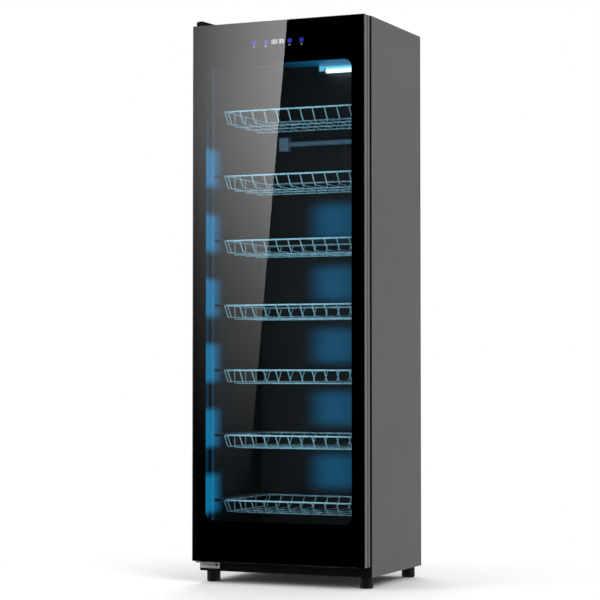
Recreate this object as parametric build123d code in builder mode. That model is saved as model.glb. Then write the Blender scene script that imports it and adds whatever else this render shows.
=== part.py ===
from build123d import *
import os
from math import atan2, cos, radians, sin, sqrt

# Upright dish sterilizer cabinet: an insulated steel body on four feet, a full-height glass door
# on two pivots, and seven wire baskets that run in channels on the side walls.
# Millimetres. +Z is up, the door faces -Y, and the origin is on the floor under the middle.

os.makedirs("parts", exist_ok=True)

# Overall
cabinet_w = 550.0        # body and door, side to side
cabinet_h = 1650.0       # floor to the top of the body
body_d = 404.0           # body, front to back
door_t = 36.0            # front of the glass to the back of the door frame
door_gap = 15.0          # back of the door frame to the body, filled by the gasket
foot_h = 34.0
foot_d = 40.0
seat_gap = 0.3           # clearance between a moving piece and what carries it
tuck = 0.3               # clearance of a piece that is slipped inside another

# Body sheets and walls
skin_t = 1.0             # outer side sheets, front rails
top_t = 3.0              # folded hem of the top panel and of the rear panel
liner_t = 1.0
side_wall_t = 38.0       # outer face to the inside of the liner
back_wall_t = 52.0
roof_t = 78.0            # body top to the ceiling of the liner
base_t = 121.0           # body bottom to the floor of the liner
flange_w = 18.0          # turned-in edges of the sheets
bend_r = 2.0
pan_t = 1.5
pan_h = 32.0             # turned-up walls of the base pan, which the door stands clear above
pan_flange = 12.0
floor_board_t = 16.0     # insulation under the liner floor
roof_board_t = 30.0
back_board_t = 18.0
rear_recess = 9.0        # the rear panel lies this far inside its rim
rear_panel_t = 1.2
foot_inset_x = 30.0      # centre of a foot in from the side of the body
foot_inset_y = 33.0      # and in from its front and back
foot_peg = 14.0          # square peg of a foot, pushed up through the pan
peg_rise = 6.0

# Door
door_top_drop = 1.5      # door top below the body top
glass_t = 5.0
inner_glass_t = 4.0
print_t = 0.5            # black enamel behind the front glass
frame_w = 26.0           # side profile, across the door
frame_wall = 2.0
lip_t = 1.5              # profile edge that wraps the edge of the glass
groove_w = 18.0          # long groove in the outside of the side profile
groove_depth = 2.5
groove_from = 9.0        # groove behind the front of the glass
lip_back = 0.3           # front of the profile behind the front of the glass
window_r = 25.0
window_side = 7.5        # between the spacer and the side profile
window_under = 94.0      # border above the bottom rail
window_over = 5.5        # between the spacer and the control housing
pane_gap = 20.5          # enamel to the inner glass
spacer_w = 9.0
rail_h = 26.0            # top and bottom frame rails
module_h = 84.0          # control housing under the top rail
module_side = 5.0        # between the housing and a side profile
module_d = 27.5
module_gap = 1.0
module_wall = 2.0
display_drop = 62.0      # middle of the display below the top of the door
digits_w = 40.0
digits_h = 17.0
key_d = 16.0             # touch keys, two on each side of the digits
key_pitch = 38.0
board_t = 1.6
gasket_w = 12.0
gasket_inset = 13.0      # gasket in from the edge of the door
dart_w = 3.0             # barb that holds the gasket in its slot
dart_h = 4.0

# Door pivots
pivot_in = 12.0          # pivot axis in from the left edge of the door
pivot_back = 18.0        # and behind the front of the glass
pin_d = 8.0
pin_fit = 0.06           # running clearance round a pin
pin_reach = 22.0         # length of a pin inside the door
arm_t = 3.0
arm_r = 7.5              # rounded end of a hinge arm
bush_flange = 22.0       # square flange of a hinge bush
bush_low_t = 2.0         # flange that carries the door
bush_len = 26.0
cover_h = 14.0
cover_w = 60.5
cover_d = 66.0
cover_left = 5.5         # cover past the pivot axis, to the left
cover_front = 7.0        # and to the front
cover_edge = 1.0         # height of the low right end of the cover
cover_wall = 2.0
plate_w = 63.0           # zinc plate on the lower hinge
plate_h = 17.0
plate_t = 1.5
plate_lift = 8.0         # zinc plate above the bottom of the body
screw_d = 5.0
screw_head_d = 8.0
screw_head_h = 1.6
top_screw_back = 10.0    # screws of the upper hinge behind the front of the body
top_screw_right = 3.0    # first of them to the right of the pivot axis
top_screw_pitch = 28.0
plate_screw_in = 10.4    # screw of the lower hinge in from the right end of the zinc plate
plate_screw_low = 6.5    # and below the top of the plate

# Wire baskets and their channels
basket_count = 7
first_rim_up = 86.0      # rim of the lowest basket above the floor of the liner
last_rim_down = 173.0    # rim of the top basket below the ceiling
basket_side = 26.0       # middle of the rim wire to the liner at each side
basket_back = 24.0       # and behind the front of the body
basket_rear = 21.0       # and to the back of the liner
basket_drop = 38.0       # rim down to the floor wires
front_lean = 21.0        # floor wires start this far inside the rim, front and back
rim_d = 5.0
rim_cut = 5.0            # cut across each inside corner of the rim
wire_d = 3.0
long_count = 11
long_edge = 16.0         # outermost of them in from the rim
cross_count = 3
leg_in = 0.8             # middle of a cross-wire leg out from the inner edge of the rim
leg_gap = 0.8            # between a leg and the wire along the edge of the floor
channel_t = 1.5
channel_gap = 0.6        # above the rim, so that a basket can't tip out
channel_inset = 22.0     # front end of a channel behind the front of the body

# Lamps
lamp_l = 222.0
lamp_in = 43.0           # right end of the lamp in from the liner
lamp_w = 30.0
lamp_h = 15.0
lamp_from_back = 8.0
tube_d = 16.0
tube_end = 18.0          # lamp housing past the end of the tube
uv_down = 69.0           # germicidal tube on the back wall, below the rim of the top basket
uv_in = 86.0             # middle of each holder in from the liner
holder_w = 32.0
holder_h = 42.0
holder_d = 22.0
strip_w = 10.0           # light strips inside the front edges of the liner
strip_t = 6.0

# Hot-air blower, in the base
wheel_d = 112.0
wheel_h = 34.0
wheel_gap = 2.5          # round the wheel
wheel_z = 74.0           # bottom of the wheel
blade_count = 16
blade_t = 1.6
blade_chord = 16.0
hub_d = 24.0
shaft_d = 6.0
scroll_wall = 2.0
scroll_grow = 30.0       # how much the scroll opens over one turn
scroll_y = 20.0          # blower axis behind the middle of the cabinet
inlet_d = 84.0
motor_d = 62.0
outlet_l = 108.0         # blower axis to the end of its outlet
leg_d = 10.0             # legs under the blower
leg_r = 48.0
heater_l = 120.0
heater_gap = 4.0
heater_d = 26.0
fin_pitch = 8.0
fin_t = 1.0

# Rear panel and the electrics in the base
louvre_l = 60.0
louvre_h = 4.0
louvre_pitch = 11.0
louvre_rows = 5
louvre_up = 34.0         # lowest row above the bottom of the body
inlet_in = 85.0          # cable inlet in from the left side
inlet_up = 48.0          # and above the bottom of the body
inlet_d_rear = 20.0
board_w = 110.0
board_l = 80.0
board_in = 110.0         # control board in from the left side
board_y = 110.0
board_lift = 8.0
relay_l = 20.0
relay_h = 16.0
coil_w = 32.0            # transformer on the board
coil_l = 36.0
coil_h = 24.0
driver_w = 96.0          # lamp driver
driver_l = 44.0
driver_h = 26.0
driver_y = -60.0
ear_l = 14.0             # its mounting ears
ear_w = 18.0
ear_t = 2.0
post_w = 6.0

# Levels and faces that follow from the sizes above
half_w = cabinet_w / 2
overall_d = door_t + door_gap + body_d
door_front = -overall_d / 2
door_back = door_front + door_t
body_front = door_back + door_gap
body_back = body_front + body_d
body_bottom = foot_h
body_top = cabinet_h
skin_top = body_top - top_t
door_bottom = body_bottom + pan_h
door_top = body_top - door_top_drop
door_h = door_top - door_bottom
liner_half = half_w - side_wall_t
liner_back_y = body_back - back_wall_t
ceiling_z = body_top - roof_t
floor_z = body_bottom + base_t
first_rim_z = floor_z + first_rim_up
basket_pitch = (ceiling_z - last_rim_down - first_rim_z) / (basket_count - 1)
basket_w = 2 * (liner_half - basket_side)
basket_l = liner_back_y - body_front - basket_back - basket_rear
long_pitch = (basket_w - 2 * long_edge) / (long_count - 1)
cross_pitch = (basket_l - rim_d) / (cross_count + 1)
module_top = door_top - rail_h - module_gap
module_low = module_top - module_h
module_w = cabinet_w - 2 * frame_w - 2 * module_side
window_w = cabinet_w - 2 * (frame_w + window_side + spacer_w)
window_bottom = door_bottom + rail_h + window_under
window_top = module_low - window_over - spacer_w
lamp_left = liner_half - lamp_in - lamp_l
uv_z = ceiling_z - last_rim_down - uv_down
uv_half = liner_half - uv_in
liner_front = body_front + skin_t
enamel_back = door_front + glass_t + print_t
pane_front = enamel_back + pane_gap
field_y = body_back - rear_recess
pan_half = half_w - skin_t
pan_front = body_front
pan_back = field_y - rear_panel_t - tuck
body_mid_y = (body_front + body_back) / 2
pivot_x = -half_w + pivot_in
pivot_y = door_front + pivot_back
top_screw_x = pivot_x + top_screw_right
top_screw_y = body_front + top_screw_back
plate_left = pivot_x - arm_r
plate_low = body_bottom + plate_lift
plate_screw_x = plate_left + plate_w - plate_screw_in
plate_screw_z = plate_low + plate_h - plate_screw_low
arm_top = door_bottom - bush_low_t - seat_gap


# ---------------------------------------------------------------- body sheets

# Side panels: one folded sheet each, turned in at the front and at the back
with BuildPart() as side_panel_right:
    with BuildSketch(Plane.XY.offset(body_bottom)):
        with BuildLine():
            FilletPolyline(
                (liner_half, body_front + skin_t / 2),
                (half_w - skin_t / 2, body_front + skin_t / 2),
                (half_w - skin_t / 2, body_back - top_t - skin_t / 2),
                (half_w - flange_w, body_back - top_t - skin_t / 2),
                radius=bend_r,
            )
        trace(line_width=skin_t)
    extrude(amount=skin_top - body_bottom)
    # the front edge is cut away where the base pan comes forward
    with BuildSketch(Plane.XY.offset(body_bottom)):
        with Locations((half_w - skin_t, body_front)):
            Rectangle(side_wall_t, 2 * skin_t + bend_r, align=(Align.MAX, Align.MIN))
    extrude(amount=pan_h, mode=Mode.SUBTRACT)
side_panel_right.part.label = "side_panel_right"
export_step(side_panel_right.part, "parts/side_panel_right.step")

with BuildPart() as side_panel_left:
    mirror(side_panel_right.part, about=Plane.YZ)
side_panel_left.part.label = "side_panel_left"
export_step(side_panel_left.part, "parts/side_panel_left.step")

# Top panel: a shallow cap with folded edges, drawn down inside the side panels
with BuildPart() as top_panel:
    with BuildSketch(Plane.XY.offset(skin_top)):
        with Locations((0, body_mid_y)):
            RectangleRounded(cabinet_w, body_d, bend_r)
    extrude(amount=top_t)
    with BuildSketch(Plane.XY.offset(skin_top)):
        with Locations((0, (body_front + body_back - top_t) / 2)):
            Rectangle(cabinet_w - 2 * flange_w, body_d - top_t - 2 * flange_w)
    extrude(amount=top_t - skin_t, mode=Mode.SUBTRACT)
    with Locations((top_screw_x, top_screw_y, body_top), (top_screw_x + top_screw_pitch, top_screw_y, body_top)):
        Hole(radius=screw_d / 2, depth=top_t)
top_panel.part.label = "top_panel"
export_step(top_panel.part, "parts/top_panel.step")

# Rear panel: a rim flush with the back, a recessed field with two rows of cooling louvres
# over the base compartment, and a hole for the cable inlet
field_w = cabinet_w - 2 * flange_w
field_h = skin_top - body_bottom - 2 * flange_w
field_mid = (skin_top + body_bottom) / 2
louvre_z = body_bottom + louvre_up
louvre_x = 2.5 * louvre_l
inlet_x = -half_w + inlet_in
inlet_z = body_bottom + inlet_up
with BuildPart() as rear_panel:
    with BuildSketch(Plane.XZ.offset(-body_back + top_t)):
        with Locations((0, field_mid)):
            Rectangle(cabinet_w, skin_top - body_bottom)
    extrude(amount=-top_t)
    with BuildSketch(Plane.XZ.offset(-field_y + rear_panel_t)):
        with Locations((0, field_mid)):
            Rectangle(field_w, field_h)
    extrude(amount=-(rear_recess + rear_panel_t - top_t))
    with BuildSketch(Plane.XZ.offset(-field_y)):
        with Locations((0, field_mid)):
            RectangleRounded(field_w - 2 * rear_panel_t, field_h - 2 * rear_panel_t, bend_r)
    extrude(amount=-rear_recess, mode=Mode.SUBTRACT)
    with BuildSketch(Plane.XZ.offset(-field_y)):
        for row in range(louvre_rows):
            with Locations((-louvre_x / 2, louvre_z + row * louvre_pitch),
                           (louvre_x / 2, louvre_z + row * louvre_pitch)):
                Rectangle(louvre_l, louvre_h)
        with Locations((inlet_x, inlet_z)):
            Circle(inlet_d_rear / 2)
    extrude(amount=rear_panel_t, mode=Mode.SUBTRACT)
rear_panel.part.label = "rear_panel"
export_step(rear_panel.part, "parts/rear_panel.step")

# Base pan: folded tray that carries the feet; its front wall is the plinth under the door
with BuildPart() as base_pan:
    with BuildSketch(Plane.XY.offset(body_bottom)):
        with Locations((0, (pan_front + pan_back) / 2)):
            Rectangle(2 * pan_half, pan_back - pan_front)
    extrude(amount=pan_h - tuck)
    with BuildSketch(Plane.XY.offset(body_bottom + pan_t)):
        with Locations((0, (pan_front + pan_back) / 2)):
            Rectangle(2 * (pan_half - pan_t), pan_back - pan_front - 2 * pan_t)
    extrude(amount=pan_h, mode=Mode.SUBTRACT)
    # the top of the plinth is turned back to stiffen it
    with BuildSketch(Plane.XY.offset(body_bottom + pan_h - tuck - pan_t)):
        with Locations((0, pan_front)):
            Rectangle(2 * pan_half, pan_flange, align=(Align.CENTER, Align.MIN))
    extrude(amount=pan_t)
    with BuildSketch(Plane.XY.offset(body_bottom)):
        with Locations((0, body_mid_y)):
            with GridLocations(cabinet_w - 2 * foot_inset_x, body_d - 2 * foot_inset_y, 2, 2):
                Rectangle(foot_peg + 2 * tuck, foot_peg + 2 * tuck)
    extrude(amount=pan_t, mode=Mode.SUBTRACT)
    with BuildSketch(Plane.XZ.offset(-pan_front)):
        with Locations((plate_screw_x, plate_screw_z)):
            Circle(screw_d / 2)
    extrude(amount=-pan_t, mode=Mode.SUBTRACT)
base_pan.part.label = "base_pan"
export_step(base_pan.part, "parts/base_pan.step")

# Feet: four moulded plastic feet with a bevelled tread and a square peg up through the pan
tread_bevel = 3.0
with BuildPart() as feet:
    with Locations((0, body_mid_y, 0)):
        with GridLocations(cabinet_w - 2 * foot_inset_x, body_d - 2 * foot_inset_y, 2, 2):
            Cylinder(foot_d / 2, foot_h, align=(Align.CENTER, Align.CENTER, Align.MIN))
    chamfer(feet.edges().filter_by(GeomType.CIRCLE).group_by(Axis.Z)[0], tread_bevel)
    with BuildSketch(Plane.XY.offset(body_bottom)):
        with Locations((0, body_mid_y)):
            with GridLocations(cabinet_w - 2 * foot_inset_x, body_d - 2 * foot_inset_y, 2, 2):
                Rectangle(foot_peg, foot_peg)
    extrude(amount=pan_t + peg_rise)
feet.part.label = "feet"
export_step(feet.part, "parts/feet.step")


# Cross rails that close the front of the body above and below the opening: bent channels
rail_half = liner_half - liner_t - bend_r


def front_rail(low_z, high_z):
    with BuildPart() as rail:
        with BuildSketch(Plane.YZ.offset(-liner_half)):
            with BuildLine():
                FilletPolyline(
                    (body_front + flange_w, low_z + skin_t / 2),
                    (body_front + skin_t / 2, low_z + skin_t / 2),
                    (body_front + skin_t / 2, high_z - skin_t / 2),
                    (body_front + flange_w, high_z - skin_t / 2),
                    radius=bend_r,
                )
            trace(line_width=skin_t)
        extrude(amount=2 * liner_half)
        # the flanges stop short of the folded edges of the liner
        with BuildSketch(Plane.XZ.offset(-liner_front)):
            with Locations((-liner_half, (low_z + high_z) / 2), (liner_half, (low_z + high_z) / 2)):
                Rectangle(2 * (liner_half - rail_half), high_z - low_z)
        extrude(amount=-flange_w, mode=Mode.SUBTRACT)
    return rail


head_rail = front_rail(ceiling_z + liner_t, skin_top)
head_rail.part.label = "head_rail"
export_step(head_rail.part, "parts/head_rail.step")

sill_rail = front_rail(door_bottom, floor_z - liner_t)
sill_rail.part.label = "sill_rail"
export_step(sill_rail.part, "parts/sill_rail.step")


# ---------------------------------------------------------------- liner

# Side liners: flat sheets that run from the front flange to the liner back
with BuildPart() as liner_right:
    with BuildSketch(Plane.XY.offset(floor_z)):
        with Locations((liner_half, liner_front)):
            Rectangle(liner_t, liner_back_y + liner_t - liner_front, align=(Align.MIN, Align.MIN))
    extrude(amount=ceiling_z - floor_z)
liner_right.part.label = "liner_right"
export_step(liner_right.part, "parts/liner_right.step")

with BuildPart() as liner_left:
    mirror(liner_right.part, about=Plane.YZ)
liner_left.part.label = "liner_left"
export_step(liner_left.part, "parts/liner_left.step")

# Liner back: hot air comes in through a ladder of slots on each side, one pair per basket
slot_l = 90.0
slot_in = 87.0           # middle of a slot in from the side liner
slot_h = 5.0
slot_x = liner_half - slot_in
with BuildPart() as liner_back:
    with BuildSketch(Plane.XZ.offset(-liner_back_y)):
        with Locations((0, (floor_z + ceiling_z) / 2)):
            Rectangle(2 * liner_half, ceiling_z - floor_z)
        for level in range(basket_count):
            with Locations((-slot_x, first_rim_z + level * basket_pitch),
                           (slot_x, first_rim_z + level * basket_pitch)):
                Rectangle(slot_l, slot_h, mode=Mode.SUBTRACT)
    extrude(amount=-liner_t)
liner_back.part.label = "liner_back"
export_step(liner_back.part, "parts/liner_back.step")

# Ceiling: a sheet with its edges folded up into the roof space
with BuildPart() as liner_top:
    with BuildSketch(Plane.XZ.offset(-liner_front)):
        with BuildLine():
            FilletPolyline(
                (-liner_half + liner_t / 2, ceiling_z + flange_w),
                (-liner_half + liner_t / 2, ceiling_z + liner_t / 2),
                (liner_half - liner_t / 2, ceiling_z + liner_t / 2),
                (liner_half - liner_t / 2, ceiling_z + flange_w),
                radius=bend_r,
            )
        trace(line_width=liner_t)
    extrude(amount=-(liner_back_y + liner_t - liner_front))
liner_top.part.label = "liner_top"
export_step(liner_top.part, "parts/liner_top.step")

# Floor: a pressed sheet with a shallow drip well and a block of return-air slots over the blower
well_in = 26.0
well_depth = 5.0
floor_slot_l = 70.0
floor_slot_w = 5.0
floor_slot_pitch = 11.0
floor_slot_rows = 7
with BuildPart() as liner_floor:
    with BuildSketch(Plane.XY.offset(floor_z)):
        with Locations((0, liner_front)):
            Rectangle(2 * liner_half, liner_back_y + liner_t - liner_front,
                      align=(Align.CENTER, Align.MIN))
    extrude(amount=-liner_t)
    well_mid = (liner_front + liner_back_y) / 2
    well_l = liner_back_y - liner_front - 2 * well_in
    with BuildSketch(Plane.XY.offset(floor_z - liner_t)):
        with Locations((0, well_mid)):
            RectangleRounded(2 * (liner_half - well_in), well_l, 4 * bend_r)
    extrude(amount=-well_depth)
    with BuildSketch(Plane.XY.offset(floor_z)):
        with Locations((0, well_mid)):
            RectangleRounded(2 * (liner_half - well_in - liner_t), well_l - 2 * liner_t,
                             4 * bend_r - liner_t)
    extrude(amount=-well_depth, mode=Mode.SUBTRACT)
    with BuildSketch(Plane.XY.offset(floor_z - well_depth)):
        with Locations((0, scroll_y)):
            with GridLocations(floor_slot_l, floor_slot_pitch, 1, floor_slot_rows):
                Rectangle(floor_slot_l, floor_slot_w)
    extrude(amount=-liner_t, mode=Mode.SUBTRACT)
liner_floor.part.label = "liner_floor"
export_step(liner_floor.part, "parts/liner_floor.step")

# Insulation: boards packed between the outer sheets and the liner
board_low = floor_z - well_depth - liner_t - floor_board_t
with BuildPart() as insulation:
    side_board_t = side_wall_t - liner_t - skin_t - bend_r
    for side in (-1, 1):
        with BuildSketch(Plane.XY.offset(board_low)):
            with Locations((side * (liner_half + liner_t + side_board_t / 2), liner_front)):
                Rectangle(side_board_t, pan_back - tuck - liner_front, align=(Align.CENTER, Align.MIN))
        extrude(amount=skin_top - board_low - tuck)
    with BuildSketch(Plane.XZ.offset(-(field_y - rear_panel_t))):
        with Locations((0, board_low)):
            Rectangle(2 * liner_half, skin_top - board_low - tuck, align=(Align.CENTER, Align.MIN))
    extrude(amount=back_board_t)
    with BuildSketch(Plane.XY.offset(ceiling_z + liner_t)):
        with Locations((0, body_front + flange_w + tuck)):
            Rectangle(2 * (liner_half - liner_t - bend_r),
                      liner_back_y - body_front - flange_w - tuck, align=(Align.CENTER, Align.MIN))
    extrude(amount=roof_board_t)
    with BuildSketch(Plane.XY.offset(board_low)):
        with Locations((0, body_front + flange_w + tuck)):
            Rectangle(2 * liner_half - 2 * tuck, liner_back_y - body_front - flange_w - tuck,
                      align=(Align.CENTER, Align.MIN))
        with Locations((0, scroll_y)):
            Circle(inlet_d / 2, mode=Mode.SUBTRACT)
    extrude(amount=floor_board_t)
insulation.part.label = "insulation"
export_step(insulation.part, "parts/insulation.step")


# ---------------------------------------------------------------- basket channels

# A channel at each end of each basket: the rim rests on its lower flange, and its upper flange
# stops the basket from tipping when it is pulled out
rim_half = basket_w / 2
rim_front = body_front + basket_back - rim_d / 2
channel_reach = rim_half - rim_d / 2 + leg_in + wire_d / 2 + seat_gap      # inner edge of the flanges
channel_low = first_rim_z - rim_d / 2 - seat_gap
channel_high = first_rim_z + rim_d / 2 + channel_gap
with BuildPart() as runners_right:
    for level in range(basket_count):
        rise = level * basket_pitch
        with BuildSketch(Plane.XZ.offset(-(body_front + channel_inset))):
            with BuildLine():
                Polyline(
                    (channel_reach, channel_low + rise - channel_t / 2),
                    (liner_half - channel_t / 2, channel_low + rise - channel_t / 2),
                    (liner_half - channel_t / 2, channel_high + rise + channel_t / 2),
                    (channel_reach, channel_high + rise + channel_t / 2),
                )
            trace(line_width=channel_t)
        extrude(amount=-(liner_back_y - body_front - channel_inset))
runners_right.part.label = "runners_right"
export_step(runners_right.part, "parts/runners_right.step")

with BuildPart() as runners_left:
    mirror(runners_right.part, about=Plane.YZ)
runners_left.part.label = "runners_left"
export_step(runners_left.part, "parts/runners_left.step")


# ---------------------------------------------------------------- wire baskets

# Each basket is a rim, wires bent front to back down both ends, with one more along each edge of
# the floor, and cross wires that hang from the sides of the rim and carry the floor. The welded
# basket is cut into its five flat grilles: the floor, the two ends and the two sides.
def bent_wire(plane, half_span, lean, top_z, low_z):
    """A square wire in a plane: down one side, along the floor and up the other side."""
    slope = atan2(lean, top_z - low_z)
    weld = rim_d / 2
    with BuildPart() as wire:
        with BuildSketch(plane):
            with BuildLine():
                Polyline(
                    (-half_span - weld * sin(slope), top_z + weld * cos(slope)),
                    (-half_span + lean, low_z),
                    (half_span - lean, low_z),
                    (half_span + weld * sin(slope), top_z + weld * cos(slope)),
                )
            trace(line_width=wire_d)
        extrude(amount=wire_d / 2, both=True)
    return wire.part


rim_low = first_rim_z - rim_d / 2
wire_z = first_rim_z - basket_drop
basket_mid_y = rim_front + rim_d / 2 + basket_l / 2
leg_x = rim_half - rim_d / 2 + leg_in          # legs of the cross wires, under the rim
edge_wire_x = leg_x - wire_d - leg_gap
with BuildPart() as welded_basket:
    with BuildSketch(Plane.XY.offset(rim_low)):
        with Locations((0, basket_mid_y)):
            Rectangle(basket_w + rim_d, basket_l + rim_d)
            chamfer(vertices(), rim_cut + rim_d * (2 - sqrt(2)))
        with Locations((0, basket_mid_y)):
            with BuildSketch(mode=Mode.PRIVATE) as rim_inside:
                Rectangle(basket_w - rim_d, basket_l - rim_d)
                chamfer(vertices(), rim_cut)
            add(rim_inside.sketch, mode=Mode.SUBTRACT)
    extrude(amount=rim_d)
    long_wire = bent_wire(Plane.YZ, basket_l / 2 - rim_d / 2, front_lean, rim_low, wire_z)
    with Locations((0, basket_mid_y, 0)):
        with GridLocations(long_pitch, 1, long_count, 1):
            add(long_wire)
        with GridLocations(2 * edge_wire_x, 1, 2, 1):
            add(long_wire)
    cross_wire = bent_wire(Plane.XZ, leg_x, 0, rim_low, wire_z - wire_d)
    with Locations((0, basket_mid_y, 0)):
        with GridLocations(1, cross_pitch, 1, cross_count):
            add(cross_wire)

floor_cut = Plane.XY.offset(wire_z + wire_d / 2)
side_cut = leg_x - wire_d / 2 - leg_gap / 2
with BuildPart() as floor_grille:
    add(welded_basket.part)
    split(bisect_by=floor_cut, keep=Keep.BOTTOM)
with BuildPart() as wall_grilles:
    add(welded_basket.part)
    split(bisect_by=floor_cut, keep=Keep.TOP)
with BuildPart() as right_grille:
    add(wall_grilles.part)
    split(bisect_by=Plane.YZ.offset(side_cut), keep=Keep.TOP)
with BuildPart() as left_grille:
    mirror(right_grille.part, about=Plane.YZ)
with BuildPart() as end_grilles:
    add(wall_grilles.part)
    split(bisect_by=Plane.YZ.offset(side_cut), keep=Keep.BOTTOM)
    split(bisect_by=Plane.YZ.offset(-side_cut), keep=Keep.TOP)
grilles = [floor_grille, left_grille, right_grille, end_grilles]

for level in range(basket_count):
    lift = Location((0, 0, level * basket_pitch))
    basket = Compound(children=[s.moved(lift) for g in grilles for s in g.part.solids()])
    basket.label = f"basket_{level + 1}"
    export_step(basket, f"parts/basket_{level + 1}.step")


# ---------------------------------------------------------------- door

# Front glass: one pane the full size of the door, its side edges wrapped by the profiles
glass_half = half_w - lip_t
door_mid_z = (door_bottom + door_top) / 2
with BuildPart() as door_glass:
    with BuildSketch(Plane.XZ.offset(-door_front)):
        with Locations((0, door_mid_z)):
            Rectangle(2 * glass_half, door_h)
    extrude(amount=-glass_t)
door_glass.part.label = "door_glass"
export_step(door_glass.part, "parts/door_glass.step")

# Black enamel behind the glass: a broad border with a round-cornered window, and above it small
# clear places for the digits and for the four touch keys
display_z = door_top - display_drop
with BuildPart() as door_border_print:
    with BuildSketch(Plane.XZ.offset(-(door_front + glass_t))):
        with Locations((0, door_mid_z)):
            Rectangle(2 * glass_half, door_h)
        with Locations((0, (window_bottom + window_top) / 2)):
            RectangleRounded(window_w, window_top - window_bottom, window_r, mode=Mode.SUBTRACT)
        with Locations((0, display_z)):
            Rectangle(digits_w, digits_h, mode=Mode.SUBTRACT)
        for place in (-2, -1, 1, 2):
            with Locations((place * key_pitch, display_z)):
                Rectangle(key_d, key_d, mode=Mode.SUBTRACT)
    extrude(amount=-print_t)
door_border_print.part.label = "door_border_print"
export_step(door_border_print.part, "parts/door_border_print.step")

# Side profiles: hollow aluminium section with a lip round the edge of the glass, a long groove
# down the outside and a slot for the gasket in the back
chamber_in = half_w - frame_w + frame_wall
chamber_out = half_w - groove_depth - frame_wall
chamber_front = enamel_back + frame_wall
chamber_back = door_back - frame_wall
gasket_x = half_w - gasket_inset - gasket_w / 2
groove_front = door_front + groove_from
with BuildPart() as door_profile_right:
    with BuildSketch(Plane.XY.offset(door_bottom)):
        with BuildLine():
            Polyline(
                (glass_half, door_front + lip_back),
                (half_w, door_front + lip_back),
                (half_w, groove_front),
                (half_w - groove_depth, groove_front + groove_depth),
                (half_w - groove_depth, groove_front + groove_w - groove_depth),
                (half_w, groove_front + groove_w),
                (half_w, door_back),
                (half_w - frame_w, door_back),
                (half_w - frame_w, enamel_back),
                (glass_half, enamel_back),
                close=True,
            )
        make_face()
        with Locations(((chamber_in + chamber_out) / 2, (chamber_front + chamber_back) / 2)):
            Rectangle(chamber_out - chamber_in, chamber_back - chamber_front, mode=Mode.SUBTRACT)
        with Locations((gasket_x, door_back)):
            Rectangle(dart_w + 2 * tuck, 3 * frame_wall, mode=Mode.SUBTRACT)
    extrude(amount=door_h)
door_profile_right.part.label = "door_profile_right"
export_step(door_profile_right.part, "parts/door_profile_right.step")

with BuildPart() as door_profile_left:
    mirror(door_profile_right.part, about=Plane.YZ)
door_profile_left.part.label = "door_profile_left"
export_step(door_profile_left.part, "parts/door_profile_left.step")


# Top and bottom rails of the door frame: hollow bars between the side profiles
rail_reach = half_w - frame_w


def door_rail(low_z, slot_z):
    with BuildPart() as rail:
        with BuildSketch(Plane.YZ.offset(-rail_reach)):
            with Locations(((enamel_back + door_back) / 2, low_z + rail_h / 2)):
                Rectangle(door_back - enamel_back, rail_h)
                Rectangle(chamber_back - chamber_front, rail_h - 2 * frame_wall,
                          mode=Mode.SUBTRACT)
            with Locations((door_back, slot_z)):
                Rectangle(3 * frame_wall, dart_w + 2 * tuck, mode=Mode.SUBTRACT)
        extrude(amount=2 * rail_reach)
    return rail


gasket_low_z = door_bottom + gasket_inset + gasket_w / 2
gasket_high_z = door_top - gasket_inset - gasket_w / 2
door_rail_top = door_rail(door_top - rail_h, gasket_high_z)
door_rail_top.part.label = "door_rail_top"
export_step(door_rail_top.part, "parts/door_rail_top.step")

door_rail_bottom = door_rail(door_bottom, gasket_low_z)
door_rail_bottom.part.label = "door_rail_bottom"
export_step(door_rail_bottom.part, "parts/door_rail_bottom.step")

# Control housing: a plastic tray behind the enamel, open to the front, with posts for the board
module_mid_z = module_top - module_h / 2
post_d = 7.0
post_x = 90.0
touch_w = 204.0
touch_h = 36.0
key_h = 3.0              # touch sensors and digits stand this far off the board
with BuildPart() as control_housing:
    with BuildSketch(Plane.XZ.offset(-enamel_back)):
        with Locations((0, module_mid_z)):
            Rectangle(module_w, module_h)
    extrude(amount=-module_d)
    with BuildSketch(Plane.XZ.offset(-enamel_back)):
        with Locations((0, module_mid_z)):
            Rectangle(module_w - 2 * module_wall, module_h - 2 * module_wall)
    extrude(amount=-(module_d - module_wall), mode=Mode.SUBTRACT)
    with BuildSketch(Plane.XZ.offset(-(enamel_back + key_h + board_t))):
        with Locations((-post_x, display_z), (post_x, display_z)):
            Rectangle(post_d, post_d)
    extrude(amount=-(module_d - key_h - board_t - module_wall / 2))
control_housing.part.label = "control_housing"
export_step(control_housing.part, "parts/control_housing.step")

# Touch board: the digits and four touch sensors on a board, pressed against the back of the glass
with BuildPart() as touch_board:
    with BuildSketch(Plane.XZ.offset(-(enamel_back + key_h))):
        with Locations((0, display_z)):
            Rectangle(touch_w, touch_h)
    extrude(amount=-board_t)
    with BuildSketch(Plane.XZ.offset(-enamel_back)):
        with Locations((0, display_z)):
            Rectangle(digits_w, digits_h)
        for place in (-2, -1, 1, 2):
            with Locations((place * key_pitch, display_z)):
                Rectangle(key_d, key_d)
    extrude(amount=-key_h)
touch_board.part.label = "touch_board"
export_step(touch_board.part, "parts/touch_board.step")

# Inner pane and the spacer bars that hold it off the enamel, round the window
pane_low = door_bottom + rail_h + 3.0
pane_high = module_low - 2.0
pane_half = half_w - frame_w - 2.0
with BuildPart() as door_inner_glass:
    with BuildSketch(Plane.XZ.offset(-pane_front)):
        with Locations((0, (pane_low + pane_high) / 2)):
            Rectangle(2 * pane_half, pane_high - pane_low)
    extrude(amount=-inner_glass_t)
door_inner_glass.part.label = "door_inner_glass"
export_step(door_inner_glass.part, "parts/door_inner_glass.step")

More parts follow.
